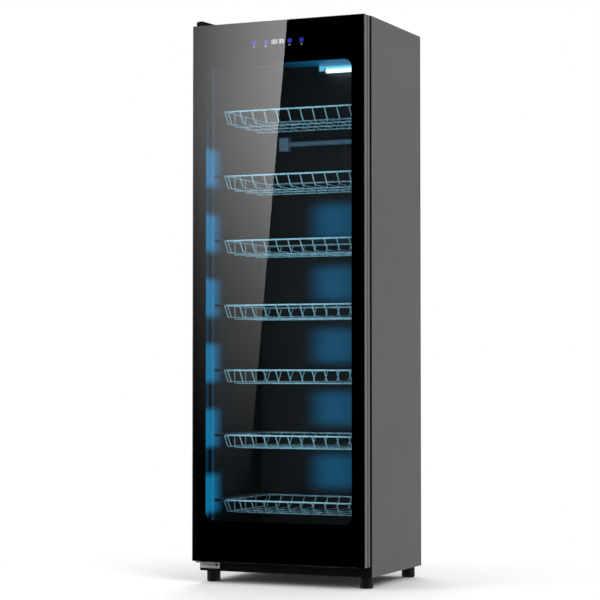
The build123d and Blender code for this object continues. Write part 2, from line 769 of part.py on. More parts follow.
spacer_x = window_w / 2 + tuck + spacer_w / 2
with BuildPart() as glass_spacer:
    with BuildSketch(Plane.XZ.offset(-enamel_back)):
        with Locations((-spacer_x, (window_bottom + window_top) / 2),
                       (spacer_x, (window_bottom + window_top) / 2)):
            Rectangle(spacer_w, window_top - window_bottom)
        with Locations((0, window_bottom - tuck - spacer_w / 2),
                       (0, window_top + tuck + spacer_w / 2)):
            Rectangle(2 * spacer_x + spacer_w, spacer_w)
    extrude(amount=-pane_gap)
glass_spacer.part.label = "glass_spacer"
export_step(glass_spacer.part, "parts/glass_spacer.step")

# Magnetic gasket: a foot, a narrow bellows and a hollow magnet pocket, mitred at the corners,
# with a barb along each length that presses into the slot of the frame
seal_d = door_gap - seat_gap
seal_foot = 3.0
seal_waist = 3.5
seal_waist_w = 6.0
seal_wall = 1.5
mitre_in = 2 * gasket_w
line_h = gasket_high_z - gasket_low_z
seal_layers = (
    (gasket_w, 0.0, seal_foot, Mode.ADD),
    (seal_waist_w, seal_foot, seal_foot + seal_waist, Mode.ADD),
    (gasket_w, seal_foot + seal_waist, seal_d, Mode.ADD),
    (gasket_w - 2 * seal_wall, seal_foot + seal_waist + seal_wall, seal_d - seal_wall, Mode.SUBTRACT),
)
with BuildPart() as gasket_loop:
    for width, near, far, mode in seal_layers:
        with BuildSketch(Plane.XZ.offset(-(door_back + near))):
            with Locations((0, door_mid_z)):
                Rectangle(2 * gasket_x + width, line_h + width)
                Rectangle(2 * gasket_x - width, line_h - width, mode=Mode.SUBTRACT)
        extrude(amount=near - far, mode=mode)

corner_x = gasket_x + gasket_w / 2
corner_z = gasket_high_z + gasket_w / 2
low_corner_z = gasket_low_z - gasket_w / 2
with BuildPart() as gasket_top:
    add(gasket_loop.part)
    with BuildSketch(Plane.XZ.offset(-door_back)):
        with BuildLine():
            Polyline(
                (-corner_x, corner_z),
                (corner_x, corner_z),
                (corner_x - mitre_in, corner_z - mitre_in),
                (-corner_x + mitre_in, corner_z - mitre_in),
                close=True,
            )
        make_face()
    extrude(amount=-door_gap, mode=Mode.INTERSECT)
    with BuildSketch(Plane.XZ.offset(-(door_back - dart_h))):
        with Locations((0, gasket_high_z)):
            Rectangle(2 * rail_reach - 2 * tuck, dart_w)
    extrude(amount=-dart_h)
with BuildPart() as gasket_bottom:
    mirror(gasket_top.part, about=Plane.XY.offset(door_mid_z))
with BuildPart() as gasket_right:
    add(gasket_loop.part)
    with BuildSketch(Plane.XZ.offset(-door_back)):
        with BuildLine():
            Polyline(
                (corner_x, low_corner_z),
                (corner_x, corner_z),
                (corner_x - mitre_in, corner_z - mitre_in),
                (corner_x - mitre_in, low_corner_z + mitre_in),
                close=True,
            )
        make_face()
    extrude(amount=-door_gap, mode=Mode.INTERSECT)
    with BuildSketch(Plane.XZ.offset(-(door_back - dart_h))):
        with Locations((gasket_x, door_mid_z)):
            Rectangle(dart_w, line_h - 2 * gasket_w)
    extrude(amount=-dart_h)
with BuildPart() as gasket_left:
    mirror(gasket_right.part, about=Plane.YZ)
gasket_lengths = [gasket_top, gasket_bottom, gasket_right, gasket_left]
door_gasket = Compound(children=[s for g in gasket_lengths for s in g.part.solids()])
door_gasket.label = "door_gasket"
export_step(door_gasket, "parts/door_gasket.step")

# Hinge bushes: plastic plugs in the two ends of the left profile; the lower one carries the door
plug_w = chamber_out - chamber_in - 2 * tuck
plug_d = chamber_back - chamber_front - 2 * tuck
plug_x = -(chamber_in + chamber_out) / 2
plug_y = (chamber_front + chamber_back) / 2
bush_top_t = body_top - seat_gap - door_top
with BuildPart() as hinge_bushes:
    for end_z, inward, flange_t in ((door_top, -1, bush_top_t), (door_bottom, 1, bush_low_t)):
        with BuildSketch(Plane.XY.offset(end_z)):
            with Locations((plug_x, plug_y)):
                Rectangle(plug_w, plug_d)
        extrude(amount=inward * bush_len)
        with BuildSketch(Plane.XY.offset(end_z)):
            with Locations((pivot_x, pivot_y)):
                RegularPolygon(bush_flange / 2, 8, major_radius=False)
        extrude(amount=-inward * flange_t)
        with BuildSketch(Plane.XY.offset(end_z - inward * flange_t)):
            with Locations((pivot_x, pivot_y)):
                Circle(pin_d / 2 + pin_fit)
        extrude(amount=inward * (flange_t + pin_reach + 1.0), mode=Mode.SUBTRACT)
hinge_bushes.part.label = "hinge_bushes"
export_step(hinge_bushes.part, "parts/hinge_bushes.step")


# ---------------------------------------------------------------- door pivots

def hinge_arm(low_z, back_y, right_x):
    """A flat arm, rounded round the pin and wider where it meets the body."""
    with BuildPart() as arm:
        with BuildSketch(Plane.XY.offset(low_z)):
            with BuildLine():
                Polyline(
                    (pivot_x - arm_r, pivot_y),
                    (pivot_x - arm_r, back_y),
                    (right_x, back_y),
                    (right_x, body_front - arm_r),
                    (pivot_x + arm_r, pivot_y),
                )
                ThreePointArc(
                    (pivot_x + arm_r, pivot_y),
                    (pivot_x, pivot_y - arm_r),
                    (pivot_x - arm_r, pivot_y),
                )
            make_face()
            with Locations((pivot_x, pivot_y)):
                Circle(pin_d / 2, mode=Mode.SUBTRACT)
        extrude(amount=arm_t)
    return arm


# Upper hinge: a flat bracket screwed to the top of the body, its pin reaching down into the door
bracket_back = pivot_y - cover_front + cover_d - 2 * cover_wall
bracket_right = pivot_x + top_screw_pitch + screw_head_d
with BuildPart() as upper_hinge_bracket:
    add(hinge_arm(body_top, bracket_back, bracket_right).part)
    with Locations((top_screw_x, top_screw_y, body_top + arm_t),
                   (top_screw_x + top_screw_pitch, top_screw_y, body_top + arm_t)):
        Hole(radius=screw_d / 2 + tuck, depth=arm_t)
upper_hinge_bracket.part.label = "upper_hinge_bracket"
export_step(upper_hinge_bracket.part, "parts/upper_hinge_bracket.step")

with BuildPart() as upper_hinge_pin:
    with Locations((pivot_x, pivot_y, body_top + arm_t)):
        Cylinder(pin_d / 2, body_top + arm_t - door_top + pin_reach,
                 align=(Align.CENTER, Align.CENTER, Align.MAX))
upper_hinge_pin.part.label = "upper_hinge_pin"
export_step(upper_hinge_pin.part, "parts/upper_hinge_pin.step")

# Cover of the upper hinge: a moulded cap, full height at the left and sloping down to the right
cover_x = pivot_x - cover_left
cover_y = pivot_y - cover_front
with BuildPart() as hinge_cover:
    with BuildSketch(Plane.XZ.offset(-cover_y)):
        with BuildLine():
            FilletPolyline(
                (cover_x, body_top),
                (cover_x, body_top + cover_h),
                (cover_x + cover_w / 3, body_top + cover_h),
                (cover_x + cover_w, body_top + cover_edge),
                radius=cover_h / 2 - tuck,
            )
            Polyline(
                (cover_x + cover_w, body_top + cover_edge),
                (cover_x + cover_w, body_top),
                (cover_x, body_top),
            )
        make_face()
    extrude(amount=-cover_d)
    with BuildSketch(Plane.XZ.offset(-(cover_y + cover_wall))):
        with BuildLine():
            Polyline(
                (cover_x + cover_wall, body_top),
                (cover_x + cover_wall, body_top + cover_h / 2),
                (cover_x + cover_h / 2, body_top + cover_h - cover_wall),
                (cover_x + cover_w / 3, body_top + cover_h - cover_wall),
                (cover_x + cover_w - 1.2 * cover_h, body_top + arm_t + screw_head_h + tuck),
                (cover_x + cover_w - 1.2 * cover_h, body_top),
                close=True,
            )
        make_face()
    extrude(amount=-(cover_d - 2 * cover_wall), mode=Mode.SUBTRACT)
    with BuildSketch(Plane.XY.offset(body_top)):
        with BuildLine():
            Polyline(
                (pivot_x - arm_r - tuck, cover_y - cover_wall),
                (pivot_x - arm_r - tuck, bracket_back + tuck),
                (bracket_right + tuck, bracket_back + tuck),
                (bracket_right + tuck, cover_y - cover_wall),
                close=True,
            )
        make_face()
    extrude(amount=arm_t + tuck, mode=Mode.SUBTRACT)
hinge_cover.part.label = "hinge_cover"
export_step(hinge_cover.part, "parts/hinge_cover.step")

# Lower hinge: an angle on the plinth, its pin standing up into the door
with BuildPart() as lower_hinge_arm:
    add(hinge_arm(arm_top - arm_t, pan_front, plate_left + plate_w).part)
    with BuildSketch(Plane.XZ.offset(-pan_front)):
        with Locations((plate_left, arm_top)):
            Rectangle(plate_w, arm_top - plate_low + tuck, align=(Align.MIN, Align.MAX))
        with Locations((plate_screw_x, plate_screw_z)):
            Circle(screw_d / 2 + tuck, mode=Mode.SUBTRACT)
    extrude(amount=arm_t)
lower_hinge_arm.part.label = "lower_hinge_arm"
export_step(lower_hinge_arm.part, "parts/lower_hinge_arm.step")

with BuildPart() as lower_hinge_pin:
    with Locations((pivot_x, pivot_y, arm_top - arm_t)):
        Cylinder(pin_d / 2, door_bottom + pin_reach - arm_top + arm_t,
                 align=(Align.CENTER, Align.CENTER, Align.MIN))
lower_hinge_pin.part.label = "lower_hinge_pin"
export_step(lower_hinge_pin.part, "parts/lower_hinge_pin.step")

# Zinc cover plate over the lower hinge, with a long pressed groove and a hole for its screw
plate_y = pan_front - arm_t
plate_groove_l = 40.0
plate_groove_h = 7.0
plate_groove_depth = 0.7
with BuildPart() as lower_hinge_plate:
    with BuildSketch(Plane.XZ.offset(-plate_y)):
        with Locations((plate_left + plate_w / 2, plate_low + plate_h / 2)):
            Rectangle(plate_w, plate_h)
        with Locations((plate_screw_x, plate_screw_z)):
            Circle(screw_head_d / 2 + tuck, mode=Mode.SUBTRACT)
    extrude(amount=plate_t)
    with BuildSketch(Plane.XZ.offset(-(plate_y - plate_t))):
        with Locations((plate_left + plate_h / 2 + plate_groove_l / 2, plate_low + plate_h / 2)):
            SlotOverall(plate_groove_l, plate_groove_h)
    extrude(amount=-plate_groove_depth, mode=Mode.SUBTRACT)
lower_hinge_plate.part.label = "lower_hinge_plate"
export_step(lower_hinge_plate.part, "parts/lower_hinge_plate.step")

with BuildPart() as hinge_screws:
    with Locations((top_screw_x, top_screw_y, body_top + arm_t),
                   (top_screw_x + top_screw_pitch, top_screw_y, body_top + arm_t)):
        Cylinder(screw_d / 2, arm_t + top_t, align=(Align.CENTER, Align.CENTER, Align.MAX))
    with BuildSketch(Plane.XY.offset(body_top + arm_t)):
        with Locations((top_screw_x, top_screw_y), (top_screw_x + top_screw_pitch, top_screw_y)):
            RegularPolygon(screw_head_d / 2, 6)
    extrude(amount=screw_head_h)
    with BuildSketch(Plane.XZ.offset(-plate_y)):
        with Locations((plate_screw_x, plate_screw_z)):
            Circle(screw_head_d / 2)
    extrude(amount=screw_head_h)
    with BuildSketch(Plane.XZ.offset(-plate_y)):
        with Locations((plate_screw_x, plate_screw_z)):
            Circle(screw_d / 2)
    extrude(amount=-(arm_t + pan_t))
hinge_screws.part.label = "hinge_screws"
export_step(hinge_screws.part, "parts/hinge_screws.step")


# ---------------------------------------------------------------- lamps

# Drying lamp under the ceiling: a tray with a socket block at each end, and a tube below it
lamp_y = liner_back_y - lamp_from_back - lamp_w / 2
tube_z = ceiling_z - lamp_h - tube_d / 2 + 2.5
cap_l = 6.0
socket_h = ceiling_z - tube_z + tube_d / 2 + 2.0
tube_left = lamp_left + tube_end
tube_right = lamp_left + lamp_l - tube_end
with BuildPart() as lamp_housing:
    with BuildSketch(Plane.YZ.offset(lamp_left)):
        with BuildLine():
            Polyline(
                (lamp_y - lamp_w / 2, ceiling_z),
                (lamp_y + lamp_w / 2, ceiling_z),
                (lamp_y + lamp_w / 3, tube_z + tube_d / 2 + tuck),
                (lamp_y - lamp_w / 3, tube_z + tube_d / 2 + tuck),
                close=True,
            )
        make_face()
    extrude(amount=lamp_l)
    for socket_x in (lamp_left, tube_right):
        with BuildSketch(Plane.YZ.offset(socket_x)):
            with Locations((lamp_y, ceiling_z)):
                Rectangle(lamp_w - 4.0, socket_h, align=(Align.CENTER, Align.MAX))
            fillet(vertices().group_by(Axis.Z)[0], radius=tube_d / 3)
        extrude(amount=tube_end)
lamp_housing.part.label = "lamp_housing"
export_step(lamp_housing.part, "parts/lamp_housing.step")

with BuildPart() as lamp_tube:
    with BuildSketch(Plane.YZ.offset(tube_left + cap_l)):
        with Locations((lamp_y, tube_z)):
            Circle(tube_d / 2)
    extrude(amount=tube_right - tube_left - 2 * cap_l)
lamp_tube.part.label = "lamp_tube"
export_step(lamp_tube.part, "parts/lamp_tube.step")

# Germicidal lamp on the liner back, between the two top baskets: two holders and a tube
uv_y = liner_back_y - tube_d / 2 - 5.0
uv_inner = uv_half - holder_w / 2
with BuildPart() as uv_holders:
    for side in (-1, 1):
        with BuildSketch(Plane.XZ.offset(-liner_back_y)):
            with Locations((side * uv_half, uv_z)):
                Rectangle(holder_w, holder_h)
        extrude(amount=holder_d)
    chamfer(uv_holders.faces().sort_by(Axis.Y)[:2].edges(), 2.0)
uv_holders.part.label = "uv_holders"
export_step(uv_holders.part, "parts/uv_holders.step")

with BuildPart() as uv_tube:
    with BuildSketch(Plane.YZ.offset(-uv_inner + cap_l)):
        with Locations((uv_y, uv_z)):
            Circle(tube_d / 2)
    extrude(amount=2 * (uv_inner - cap_l))
uv_tube.part.label = "uv_tube"
export_step(uv_tube.part, "parts/uv_tube.step")

# Metal caps on the ends of both tubes
with BuildPart() as tube_caps:
    for cap_x in (tube_left, tube_right - cap_l):
        with BuildSketch(Plane.YZ.offset(cap_x)):
            with Locations((lamp_y, tube_z)):
                Circle(tube_d / 2 + tuck)
        extrude(amount=cap_l)
    for cap_x in (-uv_inner, uv_inner - cap_l):
        with BuildSketch(Plane.YZ.offset(cap_x)):
            with Locations((uv_y, uv_z)):
                Circle(tube_d / 2 + tuck)
        extrude(amount=cap_l)
tube_caps.part.label = "tube_caps"
export_step(tube_caps.part, "parts/tube_caps.step")

# Light strips: a half-round diffuser down each side of the opening, inside the liner
strip_end = 14.0
with BuildPart() as light_strip_right:
    with BuildSketch(Plane.XY.offset(floor_z + strip_end)):
        with Locations((liner_half, liner_front + strip_w / 2 + tuck)):
            Rectangle(strip_t - strip_w / 3, strip_w, align=(Align.MAX, Align.CENTER))
        with Locations((liner_half - strip_t + strip_w / 3, liner_front + strip_w / 2 + tuck)):
            Ellipse(strip_w / 3, strip_w / 2)
        with Locations((liner_half, liner_front)):
            Rectangle(strip_w, 2 * strip_w, align=(Align.MIN, Align.MIN), mode=Mode.SUBTRACT)
    extrude(amount=ceiling_z - floor_z - 2 * strip_end)
light_strip_right.part.label = "light_strip_right"
export_step(light_strip_right.part, "parts/light_strip_right.step")

with BuildPart() as light_strip_left:
    mirror(light_strip_right.part, about=Plane.YZ)
light_strip_left.part.label = "light_strip_left"
export_step(light_strip_left.part, "parts/light_strip_left.step")


# ---------------------------------------------------------------- hot-air blower

# Blower wheel: a disc, forward-leaning blades, a shroud ring and a hub on its shaft
blade_lean = 35.0
shroud_w = blade_chord + blade_t
wheel_r = wheel_d / 2
blade_mid_r = wheel_r - blade_chord / 2 + 0.5
shaft_reach = 16.0       # of the shaft into the motor
housing_low = wheel_z - wheel_gap - scroll_wall
housing_high = wheel_z + wheel_h + wheel_gap + scroll_wall
with BuildPart() as blower_wheel:
    with Locations((0, scroll_y, wheel_z)):
        Cylinder(wheel_r, blade_t, align=(Align.CENTER, Align.CENTER, Align.MIN))
        Cylinder(hub_d / 2, wheel_h * 0.6, align=(Align.CENTER, Align.CENTER, Align.MIN))
        Cylinder(shaft_d / 2, wheel_z - housing_low + shaft_reach,
                 align=(Align.CENTER, Align.CENTER, Align.MAX))
    with BuildSketch(Plane.XY.offset(wheel_z)):
        with Locations((0, scroll_y)):
            with PolarLocations(blade_mid_r, blade_count):
                Rectangle(blade_chord, blade_t, rotation=blade_lean)
    extrude(amount=wheel_h - blade_t)
    with BuildSketch(Plane.XY.offset(wheel_z + wheel_h - blade_t)):
        with Locations((0, scroll_y)):
            Circle(wheel_r)
            Circle(wheel_r - shroud_w, mode=Mode.SUBTRACT)
    extrude(amount=blade_t)
blower_wheel.part.label = "blower_wheel"
export_step(blower_wheel.part, "parts/blower_wheel.step")


# Blower housing: a scroll that opens over one turn into an outlet toward the back, with a round
# inlet collar up to the floor of the liner and three legs down to the base pan
outlet_y = scroll_y + outlet_l
scroll_r = wheel_r + wheel_gap


def scroll_plan(swell):
    """Plan of the scroll and of its outlet, swollen outward by a wall thickness."""
    reach = [scroll_r + swell + scroll_grow * turn / 8 for turn in range(9)]
    ring = [
        (r * cos(radians(45 * turn)), scroll_y + r * sin(radians(45 * turn)))
        for turn, r in enumerate(reach)
    ]
    with BuildSketch() as plan:
        with BuildLine():
            for quarter in range(0, 8, 2):
                ThreePointArc(ring[quarter], ring[quarter + 1], ring[quarter + 2])
            Line(ring[8], ring[0])
        make_face()
        with Locations((scroll_r - swell, scroll_y)):
            Rectangle(scroll_grow + 2 * swell, outlet_y - scroll_y, align=(Align.MIN, Align.MIN))
    return plan.sketch


with BuildPart() as blower_housing:
    with BuildSketch(Plane.XY.offset(housing_low)):
        add(scroll_plan(scroll_wall))
    extrude(amount=housing_high - housing_low)
    with BuildSketch(Plane.XY.offset(housing_low + scroll_wall)):
        add(scroll_plan(0))
    extrude(amount=housing_high - housing_low - 2 * scroll_wall, mode=Mode.SUBTRACT)
    with BuildSketch(Plane.XY.offset(housing_high - scroll_wall)):
        with Locations((0, scroll_y)):
            Circle(inlet_d / 2 + scroll_wall)
    extrude(amount=board_low - housing_high + scroll_wall)
    with BuildSketch(Plane.XY.offset(housing_high - scroll_wall)):
        with Locations((0, scroll_y)):
            Circle(inlet_d / 2)
    extrude(amount=board_low - housing_high + scroll_wall, mode=Mode.SUBTRACT)
    with BuildSketch(Plane.XY.offset(housing_low)):
        with Locations((0, scroll_y)):
            Circle(shaft_d)
    extrude(amount=scroll_wall, mode=Mode.SUBTRACT)
    with BuildSketch(Plane.XY.offset(body_bottom + pan_t)):
        with Locations((0, scroll_y)):
            with PolarLocations(leg_r, 3):
                Rectangle(leg_d, leg_d)
    extrude(amount=housing_low - body_bottom - pan_t)
blower_housing.part.label = "blower_housing"
export_step(blower_housing.part, "parts/blower_housing.step")

# Motor under the housing, with the bore its shaft runs in
motor_low = body_bottom + pan_t + 4.0
with BuildPart() as blower_motor:
    with Locations((0, scroll_y, motor_low)):
        Cylinder(motor_d / 2, housing_low - motor_low, align=(Align.CENTER, Align.CENTER, Align.MIN))
    with Locations((0, scroll_y, housing_low)):
        Hole(radius=shaft_d / 2 + pin_fit, depth=shaft_reach + 2.0)
blower_motor.part.label = "blower_motor"
export_step(blower_motor.part, "parts/blower_motor.step")

# Heater: two flat bars through a row of fins, on end plates that stand on the base pan
heater_x = scroll_r + scroll_grow / 2
heater_y = outlet_y + heater_d / 2 + heater_gap
heater_z = (housing_low + housing_high) / 2
heater_h = housing_high - housing_low
bar_t = 6.0
with BuildPart() as heater:
    fin_count = int(heater_l / fin_pitch)
    with BuildSketch(Plane.YZ.offset(heater_x - (fin_count - 1) * fin_pitch / 2 - fin_t / 2)):
        with Locations((heater_y, heater_z)):
            Rectangle(heater_d, heater_h)
    extrude(amount=fin_t)
heater_fins = [
    s.moved(Location((fin * fin_pitch, 0, 0))) for fin in range(fin_count) for s in heater.part.solids()
]
with BuildPart() as heater_block:
    add(heater_fins)
    with BuildSketch(Plane.YZ.offset(heater_x - heater_l / 2)):
        with Locations((heater_y, heater_z - heater_h / 4), (heater_y, heater_z + heater_h / 4)):
            Rectangle(2 * bar_t, bar_t)
    extrude(amount=heater_l)
    for end_x in (heater_x - heater_l / 2 - fin_t, heater_x + heater_l / 2):
        with BuildSketch(Plane.YZ.offset(end_x)):
            with Locations((heater_y, body_bottom + pan_t)):
                Rectangle(heater_d + heater_gap, housing_high - body_bottom - pan_t,
                          align=(Align.CENTER, Align.MIN))
        extrude(amount=fin_t)
heater_block.part.label = "heater"
export_step(heater_block.part, "parts/heater.step")


# ---------------------------------------------------------------- electrics in the base

# Control board: relays and a transformer on a board that stands on four posts
board_x = -half_w + board_in
with BuildPart() as control_board:
    board_z = body_bottom + pan_t + board_lift
    with BuildSketch(Plane.XY.offset(board_z)):
        with Locations((board_x, board_y)):
            Rectangle(board_w, board_l)
    extrude(amount=board_t)
    with BuildSketch(Plane.XY.offset(board_z)):
        with Locations((board_x, board_y)):
            with GridLocations(board_w - 2 * post_w, board_l - 2 * post_w, 2, 2):
                Rectangle(post_w, post_w)
    extrude(amount=-board_lift)
    with BuildSketch(Plane.XY.offset(board_z + board_t)):
        with Locations((board_x - board_w / 4, board_y)):
            Rectangle(coil_w, coil_l)
    extrude(amount=coil_h)
    with BuildSketch(Plane.XY.offset(board_z + board_t)):
        with Locations((board_x + board_w / 4, board_y)):
            with GridLocations(relay_l, relay_l, 1, 3):
                Rectangle(relay_l, relay_h)
    extrude(amount=relay_h)
control_board.part.label = "control_board"
export_step(control_board.part, "parts/control_board.step")

# Driver box for the lamps, with mounting ears
with BuildPart() as lamp_driver:
    with BuildSketch(Plane.XY.offset(body_bottom + pan_t)):
        with Locations((board_x, driver_y)):
            Rectangle(driver_w, driver_l)
    extrude(amount=driver_h)
    with BuildSketch(Plane.XY.offset(body_bottom + pan_t)):
        with Locations((board_x, driver_y)):
            Rectangle(driver_w + 2 * ear_l, ear_w)
    extrude(amount=ear_t)
lamp_driver.part.label = "lamp_driver"
export_step(lamp_driver.part, "parts/lamp_driver.step")

# Cable inlet: a gland clamped in the rear panel, inside the recess, with a nut behind it
gland_hex = 26.0         # across the corners
gland_flange_t = 4.0
gland_nose_t = 4.0
gland_nose_hex = 18.0
cable_bore_d = 8.0
nut_t = 5.0
gland_layers = (
    (gland_hex, field_y - rear_panel_t - nut_t, nut_t),
    (gland_hex, field_y, gland_flange_t),
    (gland_nose_hex, field_y + gland_flange_t, gland_nose_t),
)
with BuildPart() as cable_inlet:
    with BuildSketch(Plane.XZ.offset(-(field_y - rear_panel_t))):
        with Locations((inlet_x, inlet_z)):
            Circle(inlet_d_rear / 2 - tuck)
    extrude(amount=-rear_panel_t)
    for across, from_y, thick in gland_layers:
        with BuildSketch(Plane.XZ.offset(-from_y)):
            with Locations((inlet_x, inlet_z)):
                RegularPolygon(across / 2, 6)
        extrude(amount=-thick)
    with BuildSketch(Plane.XZ.offset(-(field_y - rear_panel_t - nut_t))):
        with Locations((inlet_x, inlet_z)):
            Circle(cable_bore_d / 2)
    extrude(amount=-(nut_t + rear_panel_t + rear_recess), mode=Mode.SUBTRACT)
cable_inlet.part.label = "cable_inlet"
export_step(cable_inlet.part, "parts/cable_inlet.step")
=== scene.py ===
import math

import bmesh
import bpy
from mathutils import Matrix, Vector


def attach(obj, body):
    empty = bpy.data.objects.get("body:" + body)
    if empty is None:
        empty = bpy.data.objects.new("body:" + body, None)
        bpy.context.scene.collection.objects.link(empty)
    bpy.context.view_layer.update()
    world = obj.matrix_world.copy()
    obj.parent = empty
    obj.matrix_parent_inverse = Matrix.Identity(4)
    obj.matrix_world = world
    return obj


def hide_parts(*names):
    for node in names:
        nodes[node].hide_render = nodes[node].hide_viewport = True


# The cabinet comes in as its solids, each a node on the body that it moves with. What follows
# dresses those solids, and puts rounder pieces in the place of a few of them. New shapes are made
# in millimetres, and the places that a finish reads are in metres.
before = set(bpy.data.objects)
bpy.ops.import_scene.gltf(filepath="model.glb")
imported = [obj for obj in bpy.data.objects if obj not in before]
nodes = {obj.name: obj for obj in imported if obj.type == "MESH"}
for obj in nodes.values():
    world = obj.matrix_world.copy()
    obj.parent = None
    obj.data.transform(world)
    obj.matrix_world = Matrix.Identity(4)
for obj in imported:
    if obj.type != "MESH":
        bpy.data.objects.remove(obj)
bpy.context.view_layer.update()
scene = bpy.context.scene


# ---------------------------------------------------------------- outer sheets
# Folded steel sheets, powder coated in dark grey. The coat has a fine orange peel and is a
# little rougher in soft patches. Their front edges, where the gasket closes, carry painted shade:
# they are painted black for the shade in the gap round the door.
class Value:
    """A socket of a finish being made: sums, products and powers of it add Math nodes."""

    def __init__(self, finish, socket):
        self.finish = finish
        self.socket = socket

    def math(self, operation, first, second=0.0):
        return self.finish.add("ShaderNodeMath", {"operation": operation}, {0: first, 1: second})

    def __add__(self, other):
        return self.math("ADD", self, other)

    def __radd__(self, other):
        return self.math("ADD", other, self)

    def __sub__(self, other):
        return self.math("SUBTRACT", self, other)

    def __rsub__(self, other):
        return self.math("SUBTRACT", other, self)

    def __mul__(self, other):
        return self.math("MULTIPLY", self, other)

    def __rmul__(self, other):
        return self.math("MULTIPLY", other, self)

    def __pow__(self, other):
        return self.math("POWER", self, other)

    def above(self, level):
        return self.math("GREATER_THAN", self, level)

    def below(self, level):
        return self.math("LESS_THAN", self, level)

    def larger(self, other):
        return self.math("MAXIMUM", self, other)

    def cosine(self):
        return self.math("COSINE", self)


class Finish:
    """A material being made, on one principled shader."""

    def __init__(self, name, **plain):
        self.material = bpy.data.materials.new(name)
        self.material.use_nodes = True
        self.tree = self.material.node_tree
        self.shader = self.tree.nodes["Principled BSDF"]
        for socket, value in plain.items():
            self.feed(socket.replace("_", " ").title().replace("Ior", "IOR"), value)

    def put(self, socket, value):
        if isinstance(value, Value):
            self.tree.links.new(value.socket, socket)
        elif isinstance(value, tuple) and len(value) == 3 and socket.type == "RGBA":
            socket.default_value = (*value, 1.0)
        else:
            socket.default_value = value

    def feed(self, name, value):
        self.put(self.shader.inputs[name], value)

    def add(self, kind, settings=None, inputs=None, output=0):
        node = self.tree.nodes.new(kind)
        for name, value in (settings or {}).items():
            setattr(node, name, value)
        for key, value in (inputs or {}).items():
            self.put(node.inputs[key], value)
        return Value(self, node.outputs[output])

    def place(self, stretch=(1.0, 1.0, 1.0)):
        where = self.add("ShaderNodeTexCoord", output="Object")
        return self.add("ShaderNodeMapping", inputs={"Vector": where, "Scale": stretch})

    def along(self, axis):
        """The place along one axis, in metres."""
        return self.add("ShaderNodeSeparateXYZ", inputs={0: self.place()}, output=axis)

    def step(self, value, start, full):
        """A soft step from nothing, where a value is at its start, to all."""
        return self.add("ShaderNodeMapRange", {"interpolation_type": "SMOOTHSTEP"}, {
            "Value": value, "From Min": start, "From Max": full})

    def span(self, axis, start, full):
        """A soft step along an axis."""
        return self.step(self.along(axis), start, full)

    def noise(self, scale, detail=2.0, stretch=(1.0, 1.0, 1.0)):
        return self.add("ShaderNodeTexNoise", {"noise_dimensions": "3D"},
                        {"Vector": self.place(stretch), "Scale": scale, "Detail": detail})

    def mix(self, share, first, second):
        return self.add("ShaderNodeMix", {"data_type": "RGBA"}, {0: share, 6: first, 7: second}, 2)

    def bump(self, height, strength, distance):
        self.feed("Normal", self.add("ShaderNodeBump", inputs={
            "Strength": strength, "Distance": distance, "Height": height}))

    def orange_peel(self):
        self.bump(self.noise(900.0), 0.12, 0.0004)


def dress(finish, *names):
    """Give a finish to solids that are shown as they came."""
    for name in names:
        materials = nodes[name].data.materials
        materials.clear()
        materials.append(finish.material)


front_shade_and_glow_y = -0.1738         # the sheets are painted black in front of this, as shade in the gap
body_coat = Finish("body_coat", specular_ior_level=0.42)
patches = body_coat.noise(6.0, 3.0)
coated = body_coat.mix(patches, (0.039, 0.039, 0.042), (0.047, 0.047, 0.050))
# Painted shade: the sheets' front strip is painted near black, for the shade in the gap round the
# door.
front_shade_and_glow = body_coat.along("Y").below(front_shade_and_glow_y)
body_coat.feed("Base Color", body_coat.mix(front_shade_and_glow, coated, (0.002, 0.002, 0.002)))
body_coat.feed("Roughness", 0.42 + patches * 0.12)
body_coat.orange_peel()
dress(body_coat, "side_panel_right", "side_panel_left", "top_panel", "rear_panel")

# ---------------------------------------------------------------- rails, plinth and hinge arms
# The rails above and below the opening and the plinth, which is the front wall of the folded base
# pan, are coated black. So are the folded arms that carry the door's pins.
black_coat = Finish("black_coat", specular_ior_level=0.12)
black_patches = black_coat.noise(9.0, 3.0)
black_coat.feed("Base Color", black_coat.mix(
    black_patches, (0.002, 0.002, 0.002), (0.004, 0.004, 0.004)))
black_coat.feed("Roughness", 0.38 + black_patches * 0.14)
black_coat.orange_peel()
dress(black_coat, "base_pan", "head_rail", "sill_rail", "upper_hinge_bracket", "lower_hinge_arm")

# ---------------------------------------------------------------- feet and moulded parts
# Feet, hinge cover, control housing and cable inlet are black moulded plastic with a fine
# spark-eroded grain.
moulded = Finish("black_moulding", specular_ior_level=0.15)
grain = moulded.noise(1600.0, 1.0)
moulded.feed("Base Color", moulded.mix(grain, (0.0025, 0.0025, 0.0025), (0.005, 0.005, 0.005)))
moulded.feed("Roughness", 0.46 + grain * 0.2)
moulded.bump(grain, 0.25, 0.0003)
dress(moulded, "feet", "hinge_cover", "control_housing", "cable_inlet")

# ---------------------------------------------------------------- liner
# Satin stainless sheet, brushed along its length. It is dark where no light falls, and has a
# painted blue glow in a patch beside and behind each of the lower baskets, for the strips' light it
# would throw back.
level_pitch = 0.193
side_middle = 0.263      # height of the painted glow beside the lowest basket
side_count = 6
back_middle = 0.316      # height of the painted glow behind it
back_count = 5
wall_reach = (-0.085, -0.165)         # from the end of the light to where it is full
back_reach = (-0.098, 0.0)
back_fall = (0.01, 0.12)              # it is less again towards the second of these
ceiling_reach = (-0.20, 0.05)
blue_glow = (0.005, 0.142, 0.300)
edge_glow = (0.005, 0.205, 0.410)     # on what stands nearest to the strips
unlit = (0.0, 0.0, 0.0)


def by_level(finish, middle, count, start=-0.65, full=0.25):
    """A soft pulse up the height of the cabinet, one for each of the lower baskets."""
    up = finish.along("Z")
    wave = ((up - middle) * (2 * math.pi / level_pitch)).cosine()
    lowest = middle - 0.5 * level_pitch
    within = up.above(lowest) - up.above(lowest + count * level_pitch)
    return finish.step(wave, start, full) * within


def wall_glow(sheet):
    """Painted glow for the light of the strip at the front edge of a side wall."""
    return by_level(sheet, side_middle, side_count) * sheet.span("Y", *wall_reach)


